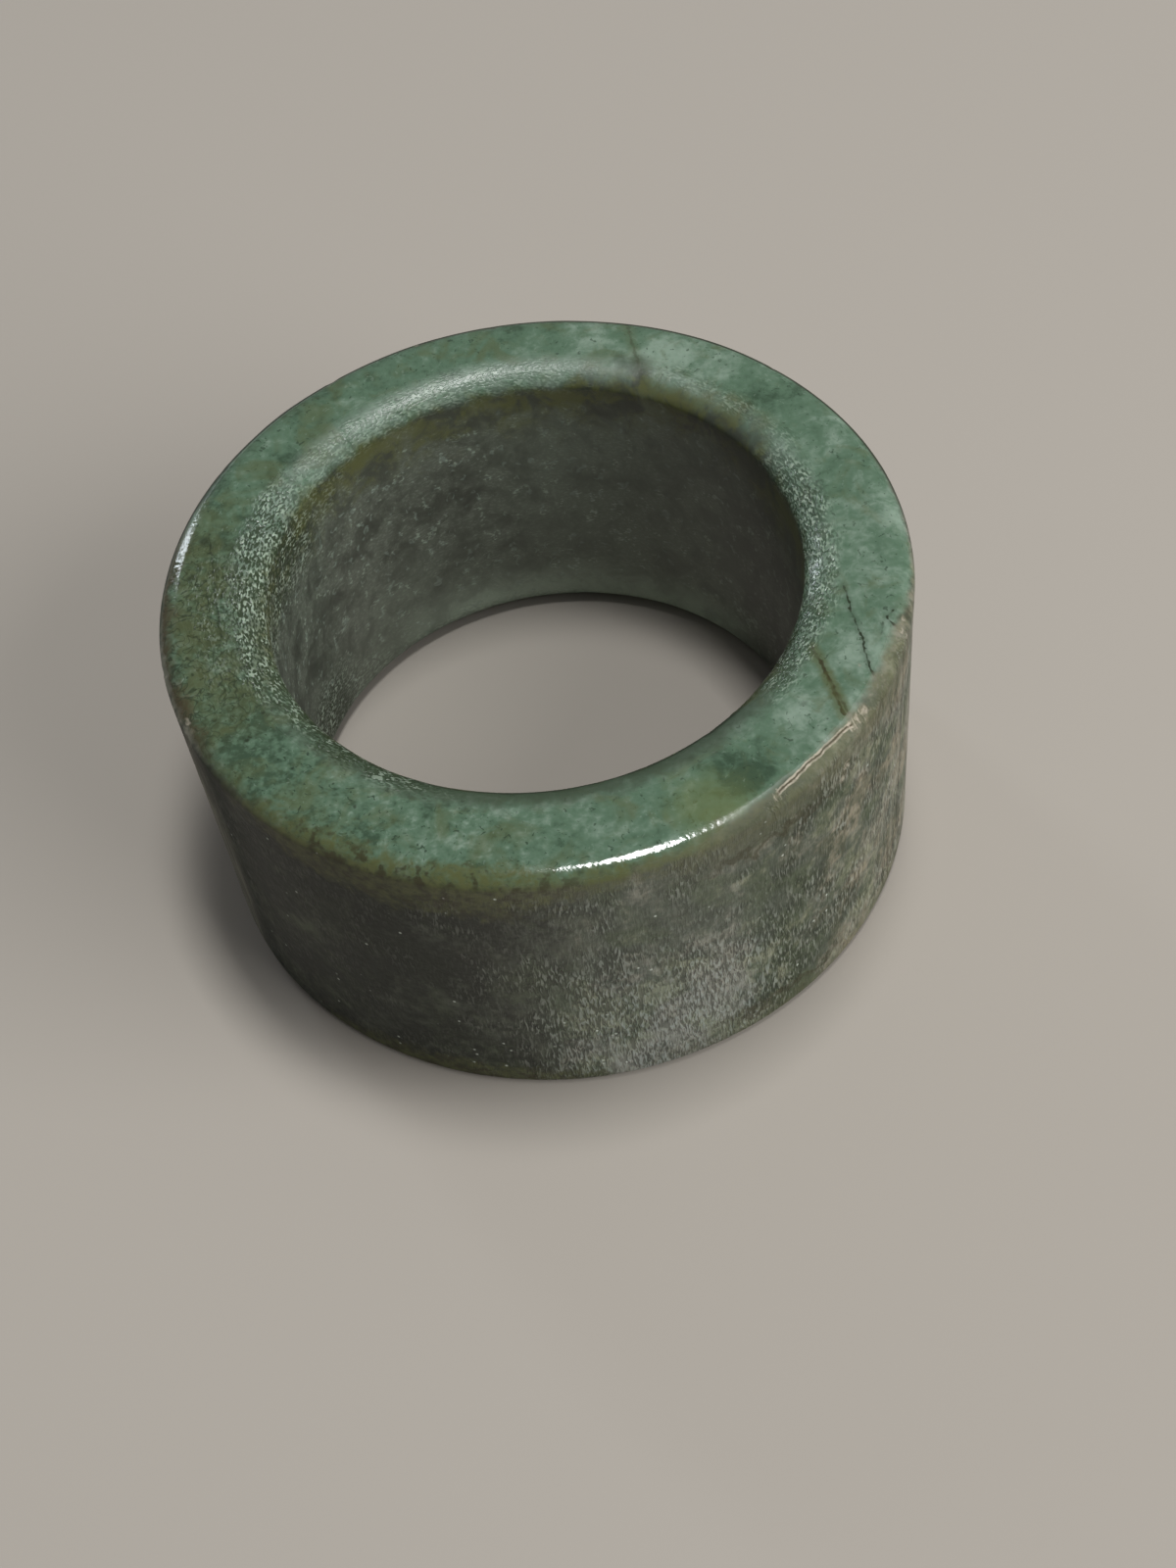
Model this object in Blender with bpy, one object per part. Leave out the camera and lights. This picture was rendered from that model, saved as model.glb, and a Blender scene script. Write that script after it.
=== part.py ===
"""A jade band ring, made as one solid.

The band is a thick turned tube that stands on one flat end face. Its upper outer
edge is worn to a soft polished round and its lower one to a small round, its bore has
a broad eased mouth at each end, and the upper edge has a bruise on one side: a
straight flat chip that ends in a few crumbled scoops.

Units are metres and +Z is up. The origin is the centre of the lower end face.
"""
import math

import bmesh
import bpy
from mathutils import Matrix, Vector

MM = 0.001

# The band
BORE_DIAMETER = 20.0 * MM
WALL_THICKNESS = 4.0 * MM
BAND_HEIGHT = 13.4 * MM
FOOT_DRAW_IN = 0.3 * MM
BORE_OFFSET = 0.4 * MM
RIM_ROUND_WIDTH = 1.05 * MM
RIM_ROUND_DEPTH = 0.52 * MM
FOOT_ROUND = 0.35 * MM
MOUTH_WIDTH = 1.4 * MM
MOUTH_DEPTH = 0.75 * MM
RIM_RADIUS = BORE_DIAMETER / 2 + WALL_THICKNESS
FOOT_RADIUS = RIM_RADIUS - FOOT_DRAW_IN

# The flat chip on the upper outer edge
CHIP_BEARING = math.radians(-49.5)
CHIP_INSET = 0.73 * MM
CHIP_DROP = 0.34 * MM
CHIP_LENGTH = 4.0 * MM

# The crumbled scoops at the far end of the chip
SCOOP_DIAMETERS = (0.7 * MM, 0.6 * MM, 0.5 * MM)
SCOOP_SPACING = 0.38 * MM
SCOOP_DEPTH = 0.11 * MM

# How finely the round forms are cut into facets
BAND_SEGMENTS = 128
FOOT_STEPS = 3
RIM_STEPS = 4
MOUTH_STEPS = 6
SCOOP_SUBDIVISIONS = 2
SMOOTH_ANGLE = math.radians(32.0)

# Finish
JADE_COLOUR = (0.070, 0.105, 0.075, 1.0)
JADE_ROUGHNESS = 0.32


def clear_scene():
    """Remove whatever the file already holds."""
    for old in list(bpy.data.objects):
        bpy.data.objects.remove(old, do_unlink=True)


def make_material(name, colour, roughness):
    """Return a plain polished-stone material."""
    material = bpy.data.materials.new(name)
    material.use_nodes = True
    shader = material.node_tree.nodes["Principled BSDF"]
    shader.inputs["Base Color"].default_value = colour
    shader.inputs["Roughness"].default_value = roughness
    shader.inputs["Metallic"].default_value = 0.0
    return material


def quarter_arc(centre, reach, start, steps):
    """Return the points of a quarter ellipse in the (radius, height) plane.

    centre is the ellipse's centre, reach its two half axes, and start the angle at
    which the quarter turn anticlockwise begins.
    """
    points = []
    for step in range(steps + 1):
        angle = start + math.radians(90.0) * step / steps
        points.append((centre[0] + reach[0] * math.cos(angle), centre[1] + reach[1] * math.sin(angle)))
    return points


def outer_profile():
    """Return the outside of the band, from the lower end face up to the upper one."""
    foot_centre = (FOOT_RADIUS - FOOT_ROUND, FOOT_ROUND)
    foot = quarter_arc(foot_centre, (FOOT_ROUND, FOOT_ROUND), math.radians(-90.0), FOOT_STEPS)
    rim_centre = (RIM_RADIUS - RIM_ROUND_WIDTH, BAND_HEIGHT - RIM_ROUND_DEPTH)
    rim = quarter_arc(rim_centre, (RIM_ROUND_WIDTH, RIM_ROUND_DEPTH), 0.0, RIM_STEPS)
    return foot + rim


def bore_profile():
    """Return the inside of the band, from the upper end face down to the lower one.

    Each mouth is a quarter ellipse whose centre lies inside the stone.
    """
    centre_radius = BORE_DIAMETER / 2 + MOUTH_WIDTH
    reach = (MOUTH_WIDTH, MOUTH_DEPTH)
    upper_centre = (centre_radius, BAND_HEIGHT - MOUTH_DEPTH)
    lower_centre = (centre_radius, MOUTH_DEPTH)
    upper = quarter_arc(upper_centre, reach, math.radians(90.0), MOUTH_STEPS)
    lower = quarter_arc(lower_centre, reach, math.radians(180.0), MOUTH_STEPS)
    return upper + lower


def ring_of_vertices(mesh, radius, height, axis_y):
    """Add one level circle of vertices about a vertical axis at (0, axis_y)."""
    circle = []
    for segment in range(BAND_SEGMENTS):
        angle = 2.0 * math.pi * segment / BAND_SEGMENTS
        place = Vector((radius * math.cos(angle), axis_y + radius * math.sin(angle), height))
        circle.append(mesh.verts.new(place))
    return circle


def make_band(material):
    """Make the turned band as one closed tube wall.

    The bore stands a little off the middle of the outside, so that the wall is
    thinner at the back than at the front.
    """
    mesh = bmesh.new()
    circles = [ring_of_vertices(mesh, radius, height, 0.0) for radius, height in outer_profile()]
    circles += [ring_of_vertices(mesh, radius, height, BORE_OFFSET) for radius, height in bore_profile()]
    for index, lower in enumerate(circles):
        upper = circles[(index + 1) % len(circles)]
        for segment in range(BAND_SEGMENTS):
            following = (segment + 1) % BAND_SEGMENTS
            mesh.faces.new((lower[segment], lower[following], upper[following], upper[segment]))
    bmesh.ops.recalc_face_normals(mesh, faces=mesh.faces)
    data = bpy.data.meshes.new("band_ring")
    mesh.to_mesh(data)
    mesh.free()
    data.materials.append(material)
    data.shade_smooth()
    data.set_sharp_from_angle(angle=SMOOTH_ANGLE)
    band = bpy.data.objects.new("band_ring", data)
    bpy.context.collection.objects.link(band)
    return band


def add_cut(band, cutter):
    """Cut a shape out of the band, and keep the shape itself out of the model."""
    cutter.display_type = "WIRE"
    cutter.hide_render = True
    cut = band.modifiers.new(cutter.name, "BOOLEAN")
    cut.operation = "DIFFERENCE"
    cut.solver = "EXACT"
    cut.object = cutter


def link_mesh(name, mesh):
    """Turn a bmesh into an object of the scene."""
    data = bpy.data.meshes.new(name)
    mesh.to_mesh(data)
    mesh.free()
    shape = bpy.data.objects.new(name, data)
    bpy.context.collection.objects.link(shape)
    return shape


def make_chip_cutter():
    """Make the block whose inner face is the plane of the flat chip.

    At the chip's middle that plane meets the upper end face CHIP_INSET in from the
    rim, and the outer wall CHIP_DROP below the upper end face.
    """
    slope = math.atan2(CHIP_DROP, CHIP_INSET)
    reach = CHIP_INSET + CHIP_DROP
    face_middle = Vector((RIM_RADIUS - CHIP_INSET / 2, 0.0, BAND_HEIGHT - CHIP_DROP / 2))
    mesh = bmesh.new()
    bmesh.ops.create_cube(mesh, size=1.0)
    bmesh.ops.scale(mesh, vec=(2 * reach, CHIP_LENGTH, reach), verts=mesh.verts)
    bmesh.ops.translate(mesh, vec=(0.0, 0.0, reach / 2), verts=mesh.verts)
    bmesh.ops.rotate(mesh, cent=(0.0, 0.0, 0.0), matrix=Matrix.Rotation(slope, 3, "Y"), verts=mesh.verts)
    bmesh.ops.translate(mesh, vec=face_middle, verts=mesh.verts)
    bmesh.ops.rotate(mesh, cent=(0.0, 0.0, 0.0), matrix=Matrix.Rotation(CHIP_BEARING, 3, "Z"), verts=mesh.verts)
    return link_mesh("chip_cutter", mesh)


def make_scoop_cutter(index, diameter):
    """Make one ball that bites SCOOP_DEPTH into the middle of the rim's round.

    The first scoop stands at the end of the chip, and each further one
    SCOOP_SPACING on along the rim.
    """
    diagonal = math.cos(math.radians(45.0))
    corner_radius = RIM_RADIUS - RIM_ROUND_WIDTH * (1.0 - diagonal)
    corner_height = BAND_HEIGHT - RIM_ROUND_DEPTH * (1.0 - diagonal)
    stand_off = (diameter / 2 - SCOOP_DEPTH) * diagonal
    chip_end = CHIP_BEARING + math.atan(CHIP_LENGTH / 2 / RIM_RADIUS)
    bearing = chip_end + SCOOP_SPACING * index / RIM_RADIUS
    mesh = bmesh.new()
    bmesh.ops.create_icosphere(mesh, subdivisions=SCOOP_SUBDIVISIONS, radius=diameter / 2)
    place = Vector((corner_radius + stand_off, 0.0, corner_height + stand_off))
    bmesh.ops.translate(mesh, vec=place, verts=mesh.verts)
    bmesh.ops.rotate(mesh, cent=(0.0, 0.0, 0.0), matrix=Matrix.Rotation(bearing, 3, "Z"), verts=mesh.verts)
    return link_mesh(f"scoop_cutter_{index + 1}", mesh)


def main():
    """Build the ring."""
    clear_scene()
    jade = make_material("jade", JADE_COLOUR, JADE_ROUGHNESS)
    band = make_band(jade)
    add_cut(band, make_chip_cutter())
    for index, diameter in enumerate(SCOOP_DIAMETERS):
        add_cut(band, make_scoop_cutter(index, diameter))


main()
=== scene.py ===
"""The looks of the jade band ring: its hand-ground form, its stone and the light it stands in.

The ring is one piece. A node tree turns its profile round the bore, grinds it a little
uneven, cuts the bruise of the upper rim and pits the surface. The stone is painted in
the ring's own millimetres, so that each cloud, stain and hairline stays in its place.
Some light and shade is painted into the stone's colour too: painted shade on the wall's
left, in hollows and along edges, and painted light, sheen, highlights and glints on the
wall, in the mouth and in the bore.

Shapes are in metres, +Z is up, and the origin is the centre of the lower end face.
Bearings are in degrees from +X towards +Y, so that -90 is the side that is nearest.
"""

import logging
import math
from dataclasses import dataclass
from enum import Enum
from typing import Dict, List, Optional, Sequence, Tuple, Union

import bpy
from mathutils import Matrix, Quaternion, Vector


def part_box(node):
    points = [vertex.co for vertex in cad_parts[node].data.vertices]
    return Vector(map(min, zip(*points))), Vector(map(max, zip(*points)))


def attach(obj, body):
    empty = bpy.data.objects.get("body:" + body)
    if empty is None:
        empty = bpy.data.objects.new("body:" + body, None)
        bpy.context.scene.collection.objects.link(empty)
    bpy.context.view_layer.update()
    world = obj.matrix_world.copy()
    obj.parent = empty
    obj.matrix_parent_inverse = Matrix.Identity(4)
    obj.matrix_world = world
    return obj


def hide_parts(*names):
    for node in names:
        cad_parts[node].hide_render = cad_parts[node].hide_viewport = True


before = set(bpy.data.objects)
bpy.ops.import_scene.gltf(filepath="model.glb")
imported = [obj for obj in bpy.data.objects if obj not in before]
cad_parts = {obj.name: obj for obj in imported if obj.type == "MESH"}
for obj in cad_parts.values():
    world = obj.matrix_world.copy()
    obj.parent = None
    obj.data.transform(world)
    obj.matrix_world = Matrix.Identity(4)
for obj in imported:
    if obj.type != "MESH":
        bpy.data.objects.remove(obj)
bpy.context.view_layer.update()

MM = 0.001
CHIP_BEARING = -49.5

Colour = Tuple[float, float, float]
Spot = Tuple[float, float]
Number = Union[float, "Value"]

log = logging.getLogger("jade_ring")


def opaque(colour: Colour) -> Tuple[float, float, float, float]:
    """Return a colour with full alpha."""
    return (*colour, 1.0)


class Value:
    """What one output of a node carries, with the usual arithmetic on it."""

    def __init__(self, graph: "Graph", socket: bpy.types.NodeSocket) -> None:
        """Wrap a socket of a graph's node tree."""
        self.graph = graph
        self.socket = socket

    def __add__(self, other: Number) -> "Value":
        """Return the sum."""
        return self.graph.math("ADD", self, other)

    def __radd__(self, other: Number) -> "Value":
        """Return the sum."""
        return self.graph.math("ADD", other, self)

    def __sub__(self, other: Number) -> "Value":
        """Return the difference."""
        return self.graph.math("SUBTRACT", self, other)

    def __rsub__(self, other: Number) -> "Value":
        """Return the difference."""
        return self.graph.math("SUBTRACT", other, self)

    def __mul__(self, other: Number) -> "Value":
        """Return the product."""
        return self.graph.math("MULTIPLY", self, other)

    def __rmul__(self, other: Number) -> "Value":
        """Return the product."""
        return self.graph.math("MULTIPLY", other, self)

    def __truediv__(self, other: Number) -> "Value":
        """Return the quotient."""
        return self.graph.math("DIVIDE", self, other)


class Graph:
    """A node tree that is written as arithmetic."""

    ROWS = 14
    COLUMN_WIDTH = 190
    ROW_HEIGHT = 170
    MIX_SHARE = 0
    MIX_COLOURS = (6, 7)
    MIX_RESULT = 2

    def __init__(self, tree: bpy.types.NodeTree) -> None:
        """Take over a node tree, which may hold nodes already."""
        self.tree = tree

    def node(self, kind: str, inputs: Optional[Dict[str, object]] = None,
             **settings: object) -> bpy.types.Node:
        """Add a node.

        Args:
            kind: the node's type name.
            inputs: values or Values by the name of the socket that takes them.
            settings: properties of the node itself.

        Returns:
            The new node, laid out on a grid so that the tree can be read.
        """
        node = self.tree.nodes.new(kind)
        column, row = divmod(len(self.tree.nodes), self.ROWS)
        node.location = (column * self.COLUMN_WIDTH, -row * self.ROW_HEIGHT)
        for name, value in settings.items():
            setattr(node, name, value)
        for name, value in (inputs or {}).items():
            self.feed(node.inputs[name], value)
        return node

    def feed(self, socket: bpy.types.NodeSocket, value: object) -> None:
        """Link a Value to an input, or set the input's own value.

        Args:
            socket: the input.
            value: a Value to link, or a plain value to set.
        """
        if isinstance(value, Value):
            self.tree.links.new(value.socket, socket)
        else:
            socket.default_value = value

    def value(self, kind: str, output: Union[int, str] = 0, inputs: Optional[Dict[str, object]] = None,
              **settings: object) -> Value:
        """Add a node and return one of its outputs."""
        return Value(self, self.node(kind, inputs, **settings).outputs[output])

    def math(self, operation: str, *operands: Number, clamp: bool = False) -> Value:
        """Return the result of a Math node.

        Args:
            operation: what the node does.
            *operands: its numbers, in the order of its inputs.
            clamp: whether the result is kept between 0 and 1.

        Returns:
            The node's result.
        """
        node = self.node("ShaderNodeMath", operation=operation, use_clamp=clamp)
        for socket, operand in zip(node.inputs, operands):
            self.feed(socket, operand)
        return Value(self, node.outputs[0])

    def vector(self, operation: str, *operands: object, scale: Optional[Number] = None) -> Value:
        """Return the result of a Vector Math node, which is a number for a length or a dot product.

        Args:
            operation: what the node does.
            *operands: its vectors, in the order of its inputs.
            scale: the number that a SCALE node multiplies by.

        Returns:
            The node's result.
        """
        node = self.node("ShaderNodeVectorMath", operation=operation)
        for socket, operand in zip(node.inputs, operands):
            self.feed(socket, operand)
        if scale is not None:
            self.feed(node.inputs["Scale"], scale)
        gives_number = operation in {"DOT_PRODUCT", "LENGTH", "DISTANCE"}
        return Value(self, node.outputs["Value" if gives_number else "Vector"])

    def combine(self, x: Number, y: Number, z: Number) -> Value:
        """Return a vector made of three numbers."""
        return self.value("ShaderNodeCombineXYZ", inputs={"X": x, "Y": y, "Z": z})

    def separate(self, vector: Value) -> Tuple[Value, Value, Value]:
        """Return a vector's three numbers."""
        node = self.node("ShaderNodeSeparateXYZ", {"Vector": vector})
        return Value(self, node.outputs[0]), Value(self, node.outputs[1]), Value(self, node.outputs[2])

    def between(self, start: Number, end: Number, share: Number) -> Value:
        """Return the number that lies a share of the way from start to end."""
        return start + (end - start) * share

    def step(self, value: Number, low: float, high: float, reach: float = 1.0) -> Value:
        """Return a smooth step: 0 where the value is at low, and reach where it is at high."""
        inputs = {"Value": value, "From Min": low, "From Max": high, "To Min": 0.0, "To Max": reach}
        return self.value("ShaderNodeMapRange", inputs=inputs, interpolation_type="SMOOTHSTEP")

    def noise(self, place: Value, scale: float, detail: float = 0.0, roughness: float = 0.5,
              distortion: float = 0.0, seed: int = 0) -> Value:
        """Return soft noise about 0.5.

        Args:
            place: where it is read.
            scale: how many swells there are to one unit of place.
            detail: how many finer octaves are added.
            roughness: how strong each octave is against the one before.
            distortion: how much the noise is bent by noise.
            seed: which stretch of the endless noise is read.

        Returns:
            The noise's height.
        """
        shift = (17.3 * seed, -9.1 * seed, 5.7 * seed)
        moved = self.vector("ADD", place, shift) if seed else place
        inputs = {"Vector": moved, "Scale": scale, "Detail": detail, "Roughness": roughness,
                  "Distortion": distortion}
        return self.value("ShaderNodeTexNoise", inputs=inputs)

    def blend(self, share: Number, first: object, second: object, kind: str = "MIX") -> Value:
        """Return a mix of two colours, each a Value or a plain colour.

        Args:
            share: how much of the second colour is mixed in.
            first: the colour at a share of 0.
            second: the colour at a share of 1.
            kind: how the second colour is laid over the first.

        Returns:
            The mixed colour.
        """
        node = self.node("ShaderNodeMix", data_type="RGBA", blend_type=kind)
        self.feed(node.inputs[self.MIX_SHARE], share)
        for socket, colour in zip(self.MIX_COLOURS, (first, second)):
            self.feed(node.inputs[socket], colour if isinstance(colour, Value) else opaque(colour))
        return Value(self, node.outputs[self.MIX_RESULT])


@dataclass(frozen=True)
class Input:
    """One named input of a shape's node tree, with the value that this ring gives it."""

    name: str
    value: object
    kind: str = "NodeSocketFloat"


class ShapeTree(Graph):
    """A geometry node tree with named inputs, which makes a piece from nothing."""

    def __init__(self, name: str, inputs: Sequence[Input]) -> None:
        """Make the tree and declare its inputs.

        Args:
            name: the tree's name.
            inputs: every input, in the order in which the modifier shows them.
        """
        super().__init__(bpy.data.node_groups.new(name, "GeometryNodeTree"))
        self.settings: Dict[str, object] = {}
        self.tree.interface.new_socket("Geometry", in_out="OUTPUT", socket_type="NodeSocketGeometry")
        for item in inputs:
            socket = self.tree.interface.new_socket(item.name, in_out="INPUT", socket_type=item.kind)
            self.settings[socket.identifier] = item.value
        group = self.node("NodeGroupInput")
        self.given = {socket.name: Value(self, socket) for socket in group.outputs if socket.name}

    def finish(self, geometry: Value) -> None:
        """Send the finished geometry out of the tree."""
        self.node("NodeGroupOutput", {"Geometry": geometry})

    def make(self, name: str) -> bpy.types.Object:
        """Run the tree once.

        Args:
            name: the new object's name.

        Returns:
            An object that holds the result as a plain mesh, with no modifier.
        """
        maker = bpy.data.objects.new(name, bpy.data.meshes.new(name))
        bpy.context.collection.objects.link(maker)
        modifier = maker.modifiers.new("Shape", "NODES")
        modifier.node_group = self.tree
        for identifier, value in self.settings.items():
            modifier[identifier] = value
        depsgraph = bpy.context.evaluated_depsgraph_get()
        result = bpy.data.meshes.new_from_object(maker.evaluated_get(depsgraph))
        result.name = name
        maker.modifiers.remove(modifier)
        maker.data = result
        return maker


@dataclass(frozen=True)
class BandSizes:
    """The ring's real sizes. The outside comes from the frame, and the rest are its own."""

    rim_radius: float
    height: float
    bore_radius: float = 10.0 * MM
    bore_offset: float = 0.4 * MM
    foot_draw_in: float = 0.3 * MM
    rim_round_width: float = 1.05 * MM
    rim_round_depth: float = 0.52 * MM
    foot_round: float = 0.35 * MM
    mouth_width: float = 1.4 * MM
    mouth_depth: float = 0.75 * MM

    @classmethod
    def from_frame(cls) -> "BandSizes":
        """Return the sizes of the band that the frame holds."""
        _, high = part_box("band_ring")
        return cls(rim_radius=high[0], height=high[2])

    def rim_middle(self) -> Tuple[float, float]:
        """Return the radius and the height of the middle of the rim's round.

        Returns:
            The two lengths, in metres.
        """
        diagonal = math.cos(math.radians(45.0))
        radius = self.rim_radius - self.rim_round_width * (1.0 - diagonal)
        return radius, self.height - self.rim_round_depth * (1.0 - diagonal)


class Ease(Enum):
    """How a strip of the profile runs from its first row of points to its last."""

    STRAIGHT = "straight"
    RADIUS_FIRST = "a quarter round that sets out level"
    HEIGHT_FIRST = "a quarter round that sets out upright"


@dataclass(frozen=True)
class Turn:
    """A corner of the profile, which becomes a level circle of the band."""

    radius: Number
    height: Number
    axis_y: Number = 0.0


class Seat(Enum):
    """Where on the upper half of the ring a bite is taken, as the way it faces: outward and up."""

    RIM = (1.0, 1.0)
    WALL = (1.0, 0.0)
    FACE = (0.0, 1.0)
    MOUTH = (-1.0, 1.0)


@dataclass(frozen=True)
class Bite:
    """A small scoop that a ball of the given diameter leaves in the stone.

    radius and height name the point of the surface that the ball bites, and depth is
    how far it sinks in there.
    """

    seat: Seat
    bearing: float
    radius: float
    height: float
    diameter: float
    depth: float

    def centre(self) -> Vector:
        """Return the middle of the ball, in metres.

        Returns:
            The ball's middle.
        """
        outward, up = self.seat.value
        stand_off = (self.diameter / 2 - self.depth) / math.hypot(outward, up)
        reach = self.radius + outward * stand_off
        angle = math.radians(self.bearing)
        return Vector((reach * math.cos(angle), reach * math.sin(angle), self.height + up * stand_off))


@dataclass
class JadeBand:
    """The ring itself, one turned and hand-ground piece of stone."""

    sizes: BandSizes
    RANDOM_RANGE = (2, 3)
    RANDOM_SEED = 8
    RANDOM_NUMBER = 1

    name: str = "jade_band"
    columns: int = 640
    crowding: float = 0.20
    margin: float = 0.65 * MM
    wall_margin: float = 2.40 * MM
    merge_distance: float = 0.002 * MM
    wall_rows: int = 30
    shoulder_rows: int = 14
    rim_rows: int = 14
    edge_rows: int = 6
    face_rows: int = 12
    mouth_rows: int = 18
    bore_rows: int = 34
    lower_mouth_rows: int = 9
    base_rows: int = 9
    foot_rows: int = 5

    round_variation: float = 0.16
    undulation: float = 0.05 * MM
    undulation_length: float = 5.0 * MM
    lap_relief: float = 0.010 * MM
    lap_length: float = 1.5 * MM
    peel_relief: float = 0.005 * MM
    peel_length: float = 0.6 * MM
    face_flatness: float = 0.25
    flatness_starts: float = 0.80
    flatness_full: float = 0.98
    wrinkle_relief: float = 0.016 * MM
    coarse_wrinkles: float = 2.3

    chip_bearing: float = CHIP_BEARING
    chip_inset: float = 0.73 * MM
    chip_drop: float = 0.34 * MM
    chip_length: float = 4.0 * MM
    chip_roughness: float = 0.03 * MM
    scoop_diameters: Tuple[float, ...] = (0.7 * MM, 0.6 * MM, 0.5 * MM)
    scoop_spacing: float = 0.38 * MM
    scoop_depth: float = 0.11 * MM
    crumbling: float = 0.5
    break_starts: float = 0.008 * MM
    break_full: float = 0.045 * MM

    pit_density: float = 0.12 / (MM * MM)
    pit_smallest: float = 0.14 * MM
    pit_largest: float = 0.40 * MM
    pit_depth_share: float = 0.09
    seed: int = 7
    sharp_angle: float = 38.0

    def bites(self) -> List[Bite]:
        """Return the scoops beside the chip, and the nicks elsewhere on the upper half.

        Returns:
            The bites, the scoops first.
        """
        rim, top = self.sizes.rim_radius, self.sizes.height
        edge = self.sizes.rim_middle()
        chip_end = self.chip_bearing + math.degrees(math.atan(self.chip_length / 2 / rim))
        spacing = math.degrees(self.scoop_spacing / rim)
        scoops = [
            Bite(Seat.RIM, chip_end + spacing * index, *edge, diameter, self.scoop_depth)
            for index, diameter in enumerate(self.scoop_diameters)
        ]
        nicks = [
            Bite(Seat.WALL, -44.6, rim - 0.09 * MM, top - 1.45 * MM, 0.50 * MM, 0.10 * MM),
            Bite(Seat.WALL, -45.6, rim - 0.09 * MM, top - 2.00 * MM, 0.40 * MM, 0.08 * MM),
            Bite(Seat.RIM, -58.4, *edge, 0.40 * MM, 0.07 * MM),
            Bite(Seat.RIM, -21.9, *edge, 0.45 * MM, 0.08 * MM),
            Bite(Seat.RIM, -19.6, *edge, 0.30 * MM, 0.06 * MM),
            Bite(Seat.RIM, -31.5, *edge, 0.32 * MM, 0.05 * MM),
            Bite(Seat.RIM, -161.0, *edge, 0.50 * MM, 0.07 * MM),
            Bite(Seat.RIM, -158.8, *edge, 0.34 * MM, 0.06 * MM),
            Bite(Seat.RIM, 104.0, *edge, 0.50 * MM, 0.05 * MM),
            Bite(Seat.MOUTH, -49.9, 10.04 * MM, top - 0.75 * MM, 0.45 * MM, 0.08 * MM),
            Bite(Seat.MOUTH, -47.3, 10.17 * MM, top - 0.62 * MM, 0.36 * MM, 0.07 * MM),
            Bite(Seat.FACE, -31.0, 12.83 * MM, top, 0.30 * MM, 0.04 * MM),
        ]
        return scoops + nicks

    def build(self, stone: bpy.types.Material) -> bpy.types.Object:
        """Make the band, dress it and tie it to the frame.

        Args:
            stone: the material that the whole piece is cut from.

        Returns:
            The finished object.
        """
        tree = ShapeTree("Jade band", self.tree_inputs(stone))
        body = self.turned_body(tree)
        body = self.ground_by_hand(tree, body)
        body = self.wrinkled(tree, body)
        body = self.chipped(tree, body)
        before = tree.node("GeometryNodeCaptureAttribute", {"Geometry": body})
        before.capture_items.new("VECTOR", "Uncut place")
        tree.feed(before.inputs["Uncut place"], tree.value("GeometryNodeInputPosition"))
        body = Value(tree, before.outputs["Geometry"])
        for bite in self.bites():
            body = self.bitten(tree, body, bite)
        body = self.marked_as_broken(tree, body, Value(tree, before.outputs["Uncut place"]))
        body = self.pitted(tree, body)
        body = self.seated(tree, body)
        body = tree.value("GeometryNodeSetShadeSmooth", inputs={"Geometry": body})
        body = tree.value("GeometryNodeRealizeInstances", inputs={"Geometry": body})
        cut_from = {"Geometry": body, "Material": tree.given["Stone"]}
        tree.finish(tree.value("GeometryNodeSetMaterial", inputs=cut_from))
        band = tree.make(self.name)
        band.data.set_sharp_from_angle(angle=math.radians(self.sharp_angle))
        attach(band, "root")
        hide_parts("band_ring")
        triangles = sum(len(face.vertices) - 2 for face in band.data.polygons)
        log.info("%s: %d triangles, %d bites", band.name, triangles, len(self.bites()))
        return band

    def tree_inputs(self, stone: bpy.types.Material) -> List[Input]:
        """Return the named inputs of the band's tree.

        Args:
            stone: the material of the whole piece.

        Returns:
            The inputs, in the order in which the modifier shows them.
        """
        sizes = self.sizes
        return [
            Input("Rim Radius", sizes.rim_radius),
            Input("Foot Draw-in", sizes.foot_draw_in),
            Input("Height", sizes.height),
            Input("Bore Radius", sizes.bore_radius),
            Input("Bore Offset", sizes.bore_offset),
            Input("Rim Round Width", sizes.rim_round_width),
            Input("Rim Round Depth", sizes.rim_round_depth),
            Input("Round Variation", self.round_variation),
            Input("Foot Round", sizes.foot_round),
            Input("Mouth Width", sizes.mouth_width),
            Input("Mouth Depth", sizes.mouth_depth),
            Input("Margin", self.margin),
            Input("Wall Margin", self.wall_margin),
            Input("Columns", self.columns, "NodeSocketInt"),
            Input("Crowding", self.crowding),
            Input("Undulation", self.undulation),
            Input("Lap Relief", self.lap_relief),
            Input("Peel Relief", self.peel_relief),
            Input("Face Flatness", self.face_flatness),
            Input("Wrinkle Relief", self.wrinkle_relief),
            Input("Chip Bearing", math.radians(self.chip_bearing)),
            Input("Chip Inset", self.chip_inset),
            Input("Chip Drop", self.chip_drop),
            Input("Chip Length", self.chip_length),
            Input("Chip Roughness", self.chip_roughness),
            Input("Pit Density", self.pit_density),
            Input("Smallest Pit", self.pit_smallest),
            Input("Largest Pit", self.pit_largest),
            Input("Pit Depth Share", self.pit_depth_share),
            Input("Seed", self.seed, "NodeSocketInt"),
            Input("Stone", stone, "NodeSocketMaterial"),
        ]

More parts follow.
